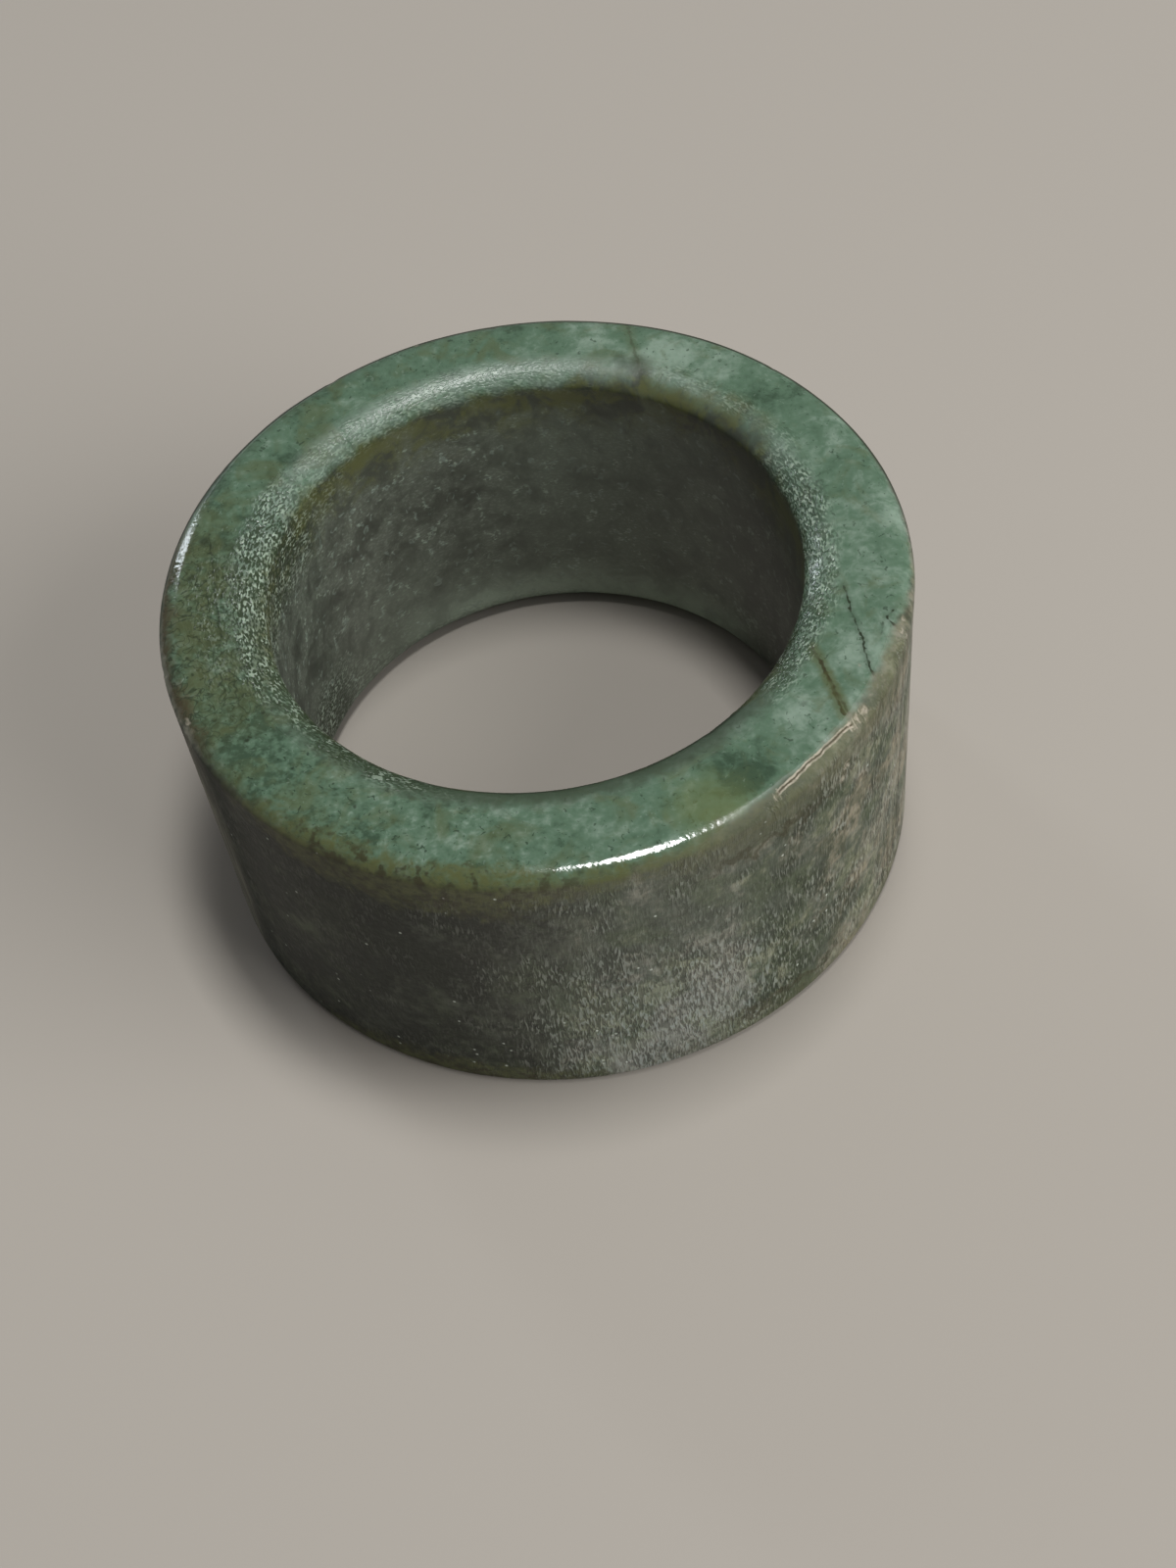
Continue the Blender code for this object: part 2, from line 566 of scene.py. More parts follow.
    def turned_body(self, tree: ShapeTree) -> Value:
        """Turn the closed profile round the bore, as strips that share their edges.

        The columns of points stand closest at the chip's bearing.

        Args:
            tree: the band's node tree.

        Returns:
            The turned band, closed and still smooth.
        """
        given = tree.given
        across, along, _ = tree.separate(tree.value("GeometryNodeInputPosition"))
        turn = (across + 0.5) * math.tau
        angle = given["Chip Bearing"] + turn - given["Crowding"] * tree.math("SINE", turn)
        cosine, sine = tree.math("COSINE", angle), tree.math("SINE", angle)
        wander = tree.noise(tree.combine(cosine, sine, 0.0), scale=2.2, detail=2.0, seed=3) * 2.0 - 1.0
        worn = given["Round Variation"] * wander + 1.0
        width, drop = given["Rim Round Width"] * worn, given["Rim Round Depth"] * worn

        rim, height, margin = given["Rim Radius"], given["Height"], given["Margin"]
        foot, foot_round = rim - given["Foot Draw-in"], given["Foot Round"]
        shoulder = Turn(rim - given["Foot Draw-in"] * given["Wall Margin"] / height,
                        height - given["Wall Margin"])
        bore, offset = given["Bore Radius"], given["Bore Offset"]
        mouth = bore + given["Mouth Width"]
        depth = given["Mouth Depth"]
        corners = [
            (Turn(foot, foot_round), self.wall_rows, Ease.STRAIGHT),
            (shoulder, self.shoulder_rows, Ease.STRAIGHT),
            (Turn(rim, height - drop), self.rim_rows, Ease.HEIGHT_FIRST),
            (Turn(rim - width, height), self.edge_rows, Ease.STRAIGHT),
            (Turn(rim - width - margin, height), self.face_rows, Ease.STRAIGHT),
            (Turn(mouth, height, offset), self.mouth_rows, Ease.RADIUS_FIRST),
            (Turn(bore, height - depth, offset), self.bore_rows, Ease.STRAIGHT),
            (Turn(bore, depth, offset), self.lower_mouth_rows, Ease.HEIGHT_FIRST),
            (Turn(mouth, 0.0, offset), self.base_rows, Ease.STRAIGHT),
            (Turn(foot - foot_round, 0.0), self.foot_rows, Ease.RADIUS_FIRST),
        ]
        share = along + 0.5
        quarter = share * (math.pi / 2)
        early, late = tree.math("SINE", quarter), 1.0 - tree.math("COSINE", quarter)
        strips = tree.node("GeometryNodeJoinGeometry")
        for index, (start, rows, ease) in enumerate(corners):
            end = corners[(index + 1) % len(corners)][0]
            level = {Ease.STRAIGHT: share, Ease.RADIUS_FIRST: early, Ease.HEIGHT_FIRST: late}[ease]
            upright = {Ease.STRAIGHT: share, Ease.RADIUS_FIRST: late, Ease.HEIGHT_FIRST: early}[ease]
            radius = tree.between(start.radius, end.radius, level)
            axis_y = level * (end.axis_y - start.axis_y) + start.axis_y
            place = tree.combine(radius * cosine, radius * sine + axis_y,
                                 tree.between(start.height, end.height, upright))
            grid = tree.value("GeometryNodeMeshGrid", inputs={
                "Size X": 1.0, "Size Y": 1.0, "Vertices X": given["Columns"], "Vertices Y": rows + 1,
            })
            strip = tree.value("GeometryNodeSetPosition", inputs={"Geometry": grid, "Position": place})
            tree.feed(strips.inputs[0], strip)
        joined = Value(tree, strips.outputs[0])
        return tree.value("GeometryNodeMergeByDistance",
                          inputs={"Geometry": joined, "Distance": self.merge_distance})

    def ground_by_hand(self, tree: ShapeTree, body: Value) -> Value:
        """Wear the turned form down a little unevenly, the flat end faces least.

        Args:
            tree: the band's node tree.
            body: the band so far.

        Returns:
            The slightly uneven band.
        """
        given = tree.given
        normal = tree.value("GeometryNodeInputNormal")
        place = tree.vector("SCALE", tree.value("GeometryNodeInputPosition"), scale=1.0 / MM)
        upright = tree.math("ABSOLUTE", tree.separate(normal)[2])
        flat = tree.step(upright, self.flatness_starts, self.flatness_full)
        freedom = tree.between(1.0, given["Face Flatness"], flat)
        swell = tree.noise(place, MM / self.undulation_length, detail=1.0, seed=1) * given["Undulation"]
        lap = tree.noise(place, MM / self.lap_length, detail=1.0, seed=2) * given["Lap Relief"]
        peel = tree.noise(place, MM / self.peel_length, seed=4) * given["Peel Relief"]
        worn = (swell + lap + peel) * freedom
        offset = tree.vector("SCALE", normal, scale=worn * -1.0)
        return tree.value("GeometryNodeSetPosition", inputs={"Geometry": body, "Offset": offset})

    def wrinkled(self, tree: ShapeTree, body: Value) -> Value:
        """Raise the wrinkles worn into the mouth, and store where they and the strokes are.

        Args:
            tree: the band's node tree.
            body: the band so far.

        Returns:
            The band with its wrinkles and with both shares stored.
        """
        at = Places(tree, self.sizes, tree.value("GeometryNodeInputPosition"))
        share = at.wrinkled_share()
        body = self.stored(tree, body, "wrinkled", share)
        body = self.stored(tree, body, "stroked", at.stroked_share())
        height = at.wrinkles(self.coarse_wrinkles) * share * tree.given["Wrinkle Relief"]
        offset = tree.vector("SCALE", tree.value("GeometryNodeInputNormal"), scale=height)
        return tree.value("GeometryNodeSetPosition", inputs={"Geometry": body, "Offset": offset})

    def chipped(self, tree: ShapeTree, body: Value) -> Value:
        """Press what stands proud of the chip's plane down on to it.

        At the chip's middle the plane meets the end face one inset in from the rim,
        and the wall one drop below the end face.

        Args:
            tree: the band's node tree.
            body: the band so far.

        Returns:
            The band with its flat chip.
        """
        given = tree.given
        inset, drop = given["Chip Inset"], given["Chip Drop"]
        slant = tree.math("SQRT", inset * inset + drop * drop)
        outward, up = drop / slant, inset / slant
        bearing = given["Chip Bearing"]
        cosine, sine = tree.math("COSINE", bearing), tree.math("SINE", bearing)
        facing = tree.combine(outward * cosine, outward * sine, up)
        place = tree.value("GeometryNodeInputPosition")
        level = outward * (given["Rim Radius"] - inset) + up * given["Height"]
        in_mm = tree.vector("SCALE", place, scale=1.0 / MM)
        ripple = tree.noise(in_mm, scale=3.0, detail=3.0, roughness=0.6, seed=5) - 0.5
        proud = tree.vector("DOT_PRODUCT", place, facing) - level + ripple * given["Chip Roughness"]
        aside = tree.vector("DOT_PRODUCT", place, tree.combine(sine * -1.0, cosine, 0.0))
        inside = tree.math("LESS_THAN", tree.math("ABSOLUTE", aside), given["Chip Length"] / 2.0)
        offset = tree.vector("SCALE", facing, scale=tree.math("MAXIMUM", proud, 0.0) * inside * -1.0)
        return tree.value("GeometryNodeSetPosition", inputs={"Geometry": body, "Offset": offset})

    def bitten(self, tree: ShapeTree, body: Value, bite: Bite) -> Value:
        """Push the points inside a bite's ball out to its rough skin.

        Args:
            tree: the band's node tree.
            body: the band so far.
            bite: the scoop or nick to take out.

        Returns:
            The bitten band.
        """
        place = tree.value("GeometryNodeInputPosition")
        from_centre = tree.vector("SUBTRACT", place, bite.centre())
        distance = tree.vector("LENGTH", from_centre)
        crumble = tree.noise(tree.vector("SCALE", place, scale=1.0 / MM), scale=6.0, detail=2.0, seed=6)
        skin = (crumble * self.crumbling + (1.0 - self.crumbling / 2)) * (bite.diameter / 2)
        stretch = tree.math("MAXIMUM", skin / distance - 1.0, 0.0)
        offset = tree.vector("SCALE", from_centre, scale=stretch)
        return tree.value("GeometryNodeSetPosition", inputs={"Geometry": body, "Offset": offset})

    def marked_as_broken(self, tree: ShapeTree, body: Value, uncut_place: Value) -> Value:
        """Store how freshly broken the surface is, from how much stone is gone there."""
        gone = tree.vector("DISTANCE", tree.value("GeometryNodeInputPosition"), uncut_place)
        return self.stored(tree, body, "broken", tree.step(gone, self.break_starts, self.break_full))

    def stored(self, tree: ShapeTree, body: Value, name: str, value: Value) -> Value:
        """Store a number on every point, under a name that the stone's material reads.

        Args:
            tree: the band's node tree.
            body: the band so far.
            name: what the material calls the number.
            value: the number.

        Returns:
            The band with the number on its points.
        """
        inputs = {"Geometry": body, "Name": name, "Value": value}
        return tree.value("GeometryNodeStoreNamedAttribute", inputs=inputs, data_type="FLOAT",
                          domain="POINT")

    def pitted(self, tree: ShapeTree, body: Value) -> Value:
        """Press shallow dimples into the surface at random places.

        Args:
            tree: the band's node tree.
            body: the band so far.

        Returns:
            The pitted band.
        """
        given = tree.given
        seeds = tree.value("GeometryNodeDistributePointsOnFaces", inputs={
            "Mesh": body, "Density": given["Pit Density"], "Seed": given["Seed"],
        })
        place = tree.value("GeometryNodeInputPosition")
        nearest = tree.value("GeometryNodeSampleNearest", inputs={"Geometry": seeds}, domain="POINT")
        reach = tree.node("FunctionNodeRandomValue", data_type="FLOAT")
        for socket, name in zip(self.RANDOM_RANGE, ("Smallest Pit", "Largest Pit")):
            tree.feed(reach.inputs[socket], given[name])
        tree.feed(reach.inputs[self.RANDOM_SEED], given["Seed"])
        chosen_reach = Value(tree, reach.outputs[self.RANDOM_NUMBER])
        middle = self.sampled(tree, seeds, place, nearest, "FLOAT_VECTOR")
        radius = self.sampled(tree, seeds, chosen_reach, nearest, "FLOAT")
        away = tree.vector("DISTANCE", place, middle) / radius
        bowl = tree.math("MAXIMUM", 1.0 - away * away, 0.0)
        depth = bowl * bowl * radius * given["Pit Depth Share"]
        offset = tree.vector("SCALE", tree.value("GeometryNodeInputNormal"), scale=depth * -1.0)
        return tree.value("GeometryNodeSetPosition", inputs={"Geometry": body, "Offset": offset})

    def sampled(self, tree: ShapeTree, source: Value, value: Value, index: Value, kind: str) -> Value:
        """Return what a field is on one point of another geometry."""
        inputs = {"Geometry": source, "Value": value, "Index": index}
        return tree.value("GeometryNodeSampleIndex", inputs=inputs, data_type=kind, domain="POINT")

    def seated(self, tree: ShapeTree, body: Value) -> Value:
        """Keep the foot on the floor and the rim under the upper end face.

        Args:
            tree: the band's node tree.
            body: the band so far.

        Returns:
            The band between its two end planes.
        """
        x, y, z = tree.separate(tree.value("GeometryNodeInputPosition"))
        level = tree.math("MINIMUM", tree.math("MAXIMUM", z, 0.0), tree.given["Height"])
        return tree.value("GeometryNodeSetPosition",
                          inputs={"Geometry": body, "Position": tree.combine(x, y, level)})


@dataclass(frozen=True)
class Cloud:
    """A soft patch of the end face that is milkier, or darker where its strength is negative."""

    bearing: float
    radius: float
    reach: float
    strength: float


@dataclass(frozen=True)
class Hairline:
    """A fine healed crack in the upper end face, as places in millimetres seen from above."""

    route: Tuple[Spot, ...]
    width: float
    strength: float


@dataclass(frozen=True)
class Fleck:
    """A small dark spot of the upper end face, in millimetres seen from above."""

    place: Spot
    reach: float
    strength: float


CLOUDS = (
    Cloud(72.0, 12.5, 1.5, 0.50),
    Cloud(66.0, 11.6, 1.3, 0.30),
    Cloud(52.0, 12.2, 2.0, 0.34),
    Cloud(137.0, 12.6, 1.3, 0.15),
    Cloud(152.0, 11.7, 1.2, 0.15),
    Cloud(28.0, 12.3, 1.6, 0.20),
    Cloud(2.0, 12.9, 2.6, 0.30),
    Cloud(-28.0, 12.5, 1.8, 0.22),
    Cloud(-43.5, 11.7, 1.2, 0.35),
    Cloud(-113.0, 12.2, 1.5, 0.35),
    Cloud(33.0, 12.4, 2.6, -0.42),
    Cloud(118.0, 13.7, 1.2, -0.15),
    Cloud(161.0, 12.6, 1.2, -0.35),
    Cloud(148.0, 13.6, 1.2, -0.20),
    Cloud(-60.0, 12.2, 2.0, -0.78),
    Cloud(60.0, 12.4, 1.8, 0.60),
    Cloud(-92.0, 11.9, 1.7, -0.25),
    Cloud(-147.0, 12.4, 2.4, -0.15),
    Cloud(-162.0, 11.7, 1.3, -0.25),
)

HAIRLINES = (
    Hairline(((11.06, -2.76), (11.14, -3.88), (11.28, -5.46), (11.30, -6.71), (11.45, -7.60)),
             width=0.057, strength=0.95),
    Hairline(((9.50, -5.50), (9.74, -6.60), (9.88, -7.45), (10.06, -8.65)), width=0.105, strength=0.90),
    Hairline(((9.80, -6.80), (10.00, -7.70), (10.24, -8.60)), width=0.080, strength=0.60),
    Hairline(((10.60, 2.80), (10.70, 0.60)), width=0.045, strength=0.45),
    Hairline(((5.12, 12.57), (5.21, 10.27), (5.38, 8.56)), width=0.10, strength=0.40),
    Hairline(((-11.90, 4.40), (-11.75, 1.80), (-11.60, -0.80)), width=0.055, strength=0.70),
    Hairline(((12.63, -4.23), (12.36, -4.54), (12.65, -5.19)), width=0.059, strength=1.00),
    Hairline(((12.18, -4.79), (12.03, -5.23)), width=0.05, strength=0.55),
)

FLECKS = (
    Fleck((-12.10, 4.08), 0.32, 0.75),
    Fleck((-10.22, -4.70), 0.12, 0.8),
    Fleck((-10.83, -5.85), 0.12, 0.8),
    Fleck((-7.20, -9.53), 0.12, 0.7),
    Fleck((-11.16, -7.44), 0.14, 0.5),
    Fleck((-9.19, -5.30), 0.10, 0.5),
    Fleck((12.89, -4.60), 0.30, 0.85),
    Fleck((12.85, -5.16), 0.12, 1.0),
    Fleck((5.30, 10.10), 0.80, 0.50),
    Fleck((4.60, 10.55), 0.45, 0.35),
    Fleck((8.75, -7.95), 0.20, 0.35),
    Fleck((4.60, -9.55), 0.24, 0.40),
)


class Side(Enum):
    """A stretch of the ring's round: its bearing, its half width and the softness of its ends."""

    WRINKLED_RIGHT = (-9.0, 32.0, 18.0)
    WRINKLED_BROW = (38.0, 20.0, 16.0)
    WRINKLED_LEFT = (174.0, 28.0, 20.0)
    BEYOND_LEFT_MOUTH = (181.0, 16.0, 14.0)
    WRINKLED_BACK = (112.0, 34.0, 30.0)
    WRINKLED_FRONT = (-142.0, 24.0, 24.0)
    DEEP_WRINKLES = (172.0, 34.0, 24.0)
    STROKED_SHEEN = (-77.0, 19.0, 26.0)
    STROKED_RIGHT = (-26.0, 22.0, 20.0)
    QUIET_WALL = (-134.0, 22.0, 26.0)
    CLIMBING_SKIN = (-42.0, 22.0, 18.0)
    BREACHED_BACK = (68.0, 6.0, 9.0)
    BREACHED_RIGHT = (-38.0, 9.0, 12.0)
    BREACHED_LEFT = (168.0, 22.0, 20.0)
    BREACHED_BROW = (44.0, 16.0, 22.0)
    GRANULAR_LEFT = (-152.0, 52.0, 60.0)
    GRANULAR_TIP = (184.0, 18.0, 20.0)
    # Painted shade on the wall's left, painted light on its right, and a painted sheen at its front.
    SHADED_LEFT_WALL = (-132.0, 26.0, 44.0)
    LIT_RIGHT_WALL = (-28.0, 18.0, 34.0)
    SHINING_WALL = (-79.0, 11.0, 24.0)
    UNDER_THE_STAIN = (-112.0, 22.0, 24.0)
    # A painted light line on the far left edge, and painted reflected streaks on edges seen edge-on.
    LIT_LEFT_EDGE = (-167.0, 9.0, 12.0)
    REFLECTING_RIGHT_EDGE = (-14.0, 16.0, 16.0)
    REFLECTING_LEFT_EDGE = (-168.0, 10.0, 12.0)
    # The mouth's frost is partly a painted highlight; its front and near lip carry painted shade.
    FROSTED_AND_LIT_MOUTH = (100.0, 86.0, 60.0)
    EATEN_FROST = (42.0, 18.0, 22.0)
    SHADED_MOUTH = (-96.0, 58.0, 50.0)
    SHADED_LIP = (-90.0, 64.0, 24.0)
    DEEPER_BORDER = (6.0, 26.0, 24.0)
    # Painted shade and painted light in the bore.
    SHADED_BORE = (14.0, 22.0, 36.0)
    LIT_BORE = (64.0, 24.0, 34.0)
    LIT_LOW_IN_BORE = (98.0, 40.0, 36.0)
    BOUNCE_LIT_BORE = (78.0, 36.0, 30.0)
    STAINED_LEFT = (184.0, 20.0, 18.0)
    STRONGEST_BAND = (-115.0, 18.0, 24.0)
    RIM_BAND = (-108.0, 36.0, 30.0)
    OLIVE_SHOULDER = (-48.0, 26.0, 22.0)
    TIDE_MARK = (-59.0, 11.0, 10.0)
    # A painted shade line along the back edge of the rim.
    SHADED_BACK_EDGE = (84.0, 92.0, 30.0)
    LOW_GLINTS = (-108.0, 24.0, 24.0)
    DULL_FRONT_LEFT = (-140.0, 30.0, 40.0)
    DULL_LEFT = (176.0, 30.0, 24.0)
    WORN_RIM = (-42.0, 20.0, 18.0)
    DULL_BACK_RIM = (84.0, 72.0, 30.0)


class Grain(Enum):
    """The noises of the stone: swells to a millimetre, octaves, roughness, bend and seed."""

    WALL_EDGE = (1.3, 3.0, 0.62, 0.0, 11)
    BORE_EDGE = (0.9, 4.0, 0.62, 0.5, 12)
    WRINKLE_EDGE = (1.1, 2.0, 0.50, 0.0, 13)
    TONE = (0.50, 2.0, 0.50, 0.8, 14)
    POOLS = (1.05, 3.0, 0.62, 1.2, 15)
    COTTON = (2.4, 2.0, 0.60, 0.0, 16)
    SPECKS = (4.2, 1.0, 0.50, 1.2, 17)
    MOSS = (0.62, 3.0, 0.60, 0.8, 18)
    MOUTH_EDGE = (1.2, 3.0, 0.65, 0.5, 19)
    WALL_PATCHES = (0.36, 4.0, 0.62, 0.5, 21)
    WALL_HUE = (0.45, 2.0, 0.50, 0.0, 22)
    BORE_BORDER = (0.7, 4.0, 0.66, 0.8, 23)
    BORE_PATCHES = (0.75, 4.0, 0.68, 0.4, 24)
    WALL_GRAIN = (2.0, 2.0, 0.72, 0.0, 25)
    BORE_WORMS = (1.5, 1.0, 0.50, 0.6, 26)
    CHOSEN_WORMS = (2.2, 1.0, 0.50, 0.0, 27)
    WALL_STREAKS = (3.0, 2.0, 0.60, 0.0, 28)
    STAIN_EDGE = (0.9, 4.0, 0.65, 0.7, 31)
    BAND_EDGE = (0.9, 5.0, 0.68, 0.8, 32)
    LINE_FADE = (1.9, 1.0, 0.60, 0.0, 33)
    BAND_GRAIN = (2.6, 2.0, 0.60, 0.0, 34)
    CREASES = (1.9, 1.0, 0.50, 0.9, 35)
    FINE_GRAIN = (4.6, 1.0, 0.50, 0.0, 36)
    LINE_FRAY = (4.2, 1.0, 0.50, 0.0, 37)
    STROKES = (11.0, 0.0, 0.50, 0.7, 41)
    STROKE_PATCHES = (0.50, 3.0, 0.66, 0.0, 42)
    WRINKLE_HIGHLIGHTS = (2.0, 1.0, 0.60, 0.0, 43)
    BREAK_TINT = (4.0, 2.0, 0.60, 0.0, 45)
    CHIP_WOBBLE = (1.6, 3.0, 0.70, 0.0, 47)
    CHIP_WEAR = (2.4, 3.0, 0.65, 0.0, 48)
    GLINT_SWARMS = (0.5, 2.0, 0.50, 0.0, 49)
    GLOSS_WEAR = (0.8, 1.0, 0.60, 0.0, 51)
    SATIN = (3.4, 2.0, 0.50, 0.0, 52)
    RIPPLE = (5.5, 1.0, 0.50, 0.0, 53)


@dataclass(frozen=True)
class WrinkledStretch:
    """A stretch of the mouth that is wrinkled.

    The wrinkles run out from the bore. They fade from full down to none, both given
    in millimetres outwards from the edge of the mouth.
    """

    side: Side
    none: float
    full: float
    strength: float = 1.0


WRINKLED_STRETCHES = (
    WrinkledStretch(Side.WRINKLED_RIGHT, 0.10, -0.55),
    WrinkledStretch(Side.WRINKLED_LEFT, 0.25, -0.40),
    WrinkledStretch(Side.BEYOND_LEFT_MOUTH, 1.90, 0.50, strength=0.30),
    WrinkledStretch(Side.WRINKLED_BACK, -0.10, -0.70, strength=0.36),
    WrinkledStretch(Side.WRINKLED_FRONT, -0.20, -0.80, strength=0.75),
)


class Places:
    """Where a point of the stone is, in millimetres on the ring."""

    FACE_ENDS = 2.4
    WALL_BEGINS = 1.4
    FOOT_MARGIN = 0.8
    WRINKLE_PATH = 0.5
    MOUTH_BEYOND = 0.3
    MOUTH_WITHIN = 0.4

    def __init__(self, graph: Graph, sizes: BandSizes, place: Value) -> None:
        """Work out the coordinates that every pattern reads.

        over is how far a point lies over the rim's edge: below 0 on the end face, and
        above 0 down the wall. along is the way round the mouth.

        Args:
            graph: the graph of the shape or of the material.
            sizes: the ring's sizes, in metres.
            place: the point's own place, in metres.
        """
        self.graph = graph
        self.rim = sizes.rim_radius / MM
        self.top = sizes.height / MM
        self.bore = sizes.bore_radius / MM
        self.mouth = (sizes.bore_radius + sizes.mouth_width) / MM
        self.point = graph.vector("SCALE", place, scale=1.0 / MM)
        self.x, self.y, self.z = graph.separate(self.point)
        self.plan = graph.combine(self.x, self.y, 0.0)
        self.radius = graph.vector("LENGTH", self.plan)
        centred = graph.combine(self.x, self.y - sizes.bore_offset / MM, 0.0)
        self.bore_distance = graph.vector("LENGTH", centred)
        self.drop = graph.math("MINIMUM", self.top - self.z, self.z)
        outside = graph.step(self.radius, self.rim - self.FACE_ENDS, self.rim - self.WALL_BEGINS)
        below = graph.math("MINIMUM", self.top - self.z, self.z + self.FOOT_MARGIN)
        draw_in = sizes.foot_draw_in / MM
        wall = self.z * (draw_in / self.top) + (self.rim - draw_in)
        self.over = self.radius - wall + below * outside
        backwards = graph.math("ARCTAN2", self.x, self.y * -1.0)
        self.along = backwards * (self.bore + self.WRINKLE_PATH)

    def arc(self, side: Side) -> Value:
        """Return 1 on a side of the ring, fading to 0 over the softness of its ends.

        Args:
            side: the stretch of the ring's round.

        Returns:
            The share of the side at the point.
        """
        bearing, half_width, softness = side.value
        direction = (math.cos(math.radians(bearing)), math.sin(math.radians(bearing)), 0.0)
        along = self.graph.vector("DOT_PRODUCT", self.graph.vector("NORMALIZE", self.plan), direction)
        outer = math.cos(math.radians(half_width + softness / 2))
        inner = math.cos(math.radians(max(half_width - softness / 2, 0.0)))
        return self.graph.step(along, outer, inner)

    def grain(self, grain: Grain, place: Optional[Value] = None) -> Value:
        """Return one of the stone's noises, about 0.5, at the point itself or at another place."""
        scale, detail, roughness, bend, seed = grain.value
        return self.graph.noise(place or self.point, scale, detail, roughness, bend, seed)

    def sway(self, grain: Grain) -> Value:
        """Return one of the stone's noises at the point, about 0."""
        return self.grain(grain) - 0.5

    def ridges(self, grain: Grain, width: float) -> Value:
        """Return thin wandering ridges, 1 along their tops and 0 between them."""
        return self.graph.step(self.graph.math("ABSOLUTE", self.sway(grain)), width, 0.0)

    def near_top(self, gone: float, full: float) -> Value:
        """Return 1 near the upper end face and 0 below, from two drops under it in millimetres."""
        return self.graph.step(self.z, self.top - gone, self.top - full)

    def in_mouth(self) -> Value:
        """Return 1 in the eased mouths, fading to 0 on the end faces."""
        outer, inner = self.mouth + self.MOUTH_BEYOND, self.mouth - self.MOUTH_WITHIN
        return self.graph.step(self.bore_distance, outer, inner)

    def wrinkles(self, to_a_millimetre: float) -> Value:
        """Return the wrinkles of the mouth, 1 on their tops and 0 between them, drawn out along it.

        Args:
            to_a_millimetre: how many wrinkles there are to a millimetre.

        Returns:
            The height of the wrinkles.
        """
        drawn_out = self.graph.combine(self.bore_distance, self.along * 0.50, self.z)
        swell = self.graph.noise(drawn_out, to_a_millimetre, distortion=0.4, seed=44)
        return self.graph.step(swell, 0.36, 0.64)

    def wrinkled_share(self) -> Value:
        """Return how strongly the surface is wrinkled: most on the right and the left of the mouth.

        Returns:
            A share from 0 to 1.
        """
        graph = self.graph
        reach = self.bore_distance + self.sway(Grain.WRINKLE_EDGE) * 1.1
        brow = self.arc(Side.WRINKLED_BROW) * graph.step(reach, self.mouth + 0.30, self.mouth - 0.20)
        sides = brow * graph.step(reach, self.bore + 0.55, self.bore + 0.95) * 0.32
        for stretch in WRINKLED_STRETCHES:
            near = graph.step(reach, self.mouth + stretch.none, self.mouth + stretch.full)
            sides = graph.math("MAXIMUM", sides, self.arc(stretch.side) * near * stretch.strength)
        depth = graph.between(1.1, 4.2, self.arc(Side.DEEP_WRINKLES))
        shallow = graph.step(self.drop / depth, 1.0, 0.55)
        return sides * shallow

    def stroked_share(self) -> Value:
        """Return how strongly the wall is worked over with fine strokes: most of all in its sheen.

        Returns:
            A share from 0 to 1.
        """
        graph = self.graph
        sheen = self.arc(Side.STROKED_SHEEN) * graph.step(self.z, 11.0, 5.0)
        sheen = sheen + self.arc(Side.STROKED_RIGHT) * 0.4
        patchy = self.grain(Grain.STROKE_PATCHES) + sheen * 0.16
        quiet = 1.0 - self.arc(Side.QUIET_WALL) * 0.75
        below_rim = graph.step(self.over + self.arc(Side.CLIMBING_SKIN) * 0.55, 0.10, 0.90)
        return graph.between(0.16, 1.0, graph.step(patchy, 0.47, 0.68)) * quiet * below_rim


@dataclass(frozen=True)
class ChipMarks:
    """The marks along the flat chip, in millimetres.

    Insets are measured inwards from the rim, and half lengths along it from the
    chip's middle. Each line fades from its core to its edge. A frayed end is given by
    where it begins, is full, is full no more and ends. The ticks lie there. They lean,
    they wander, and their width is a share of the space from one to the next.
    """

    bearing: float = CHIP_BEARING
    inner_inset: float = 0.56
    outer_inset: float = 0.44
    line_edge: float = 0.045
    line_core: float = 0.015
    thread_inset: float = 0.50
    thread_edge: float = 0.080
    thread_core: float = 0.020
    half_length: float = 1.90
    half_length_edge: float = 2.05
    wobble: float = 0.16
    ticks_to_a_millimetre: float = 4.0
    tick_wander: float = 6.0
    tick_lean: float = 1.6
    tick_width: Tuple[float, float] = (0.16, 0.06)
    tick_inset: float = 0.46
    tick_reach: Tuple[float, float] = (0.22, 0.12)
    frayed_ends: Tuple[Tuple[float, float, float, float], ...] = (
        (1.60, 1.75, 2.45, 2.70),
        (-1.75, -1.85, -2.15, -2.25),
    )


@dataclass(frozen=True)
class Gloss:
    """How rough each part of the surface is, from glassy to dry."""

    face: float = 0.11
    mouth: float = 0.44
    wrinkles: float = 0.20
    skin: float = 0.36
    front_left: float = 0.32
    left: float = 0.40
    worn: float = 0.75
    unevenness: float = 0.08


@dataclass(frozen=True)
class Relief:
    """How high each of the fine reliefs stands, in millimetres."""

    face: float = 0.002
    mouth: float = 0.008
    wall: float = 0.036
    rim: float = 0.009
    wrinkles: float = 0.022
    strokes: float = 0.030


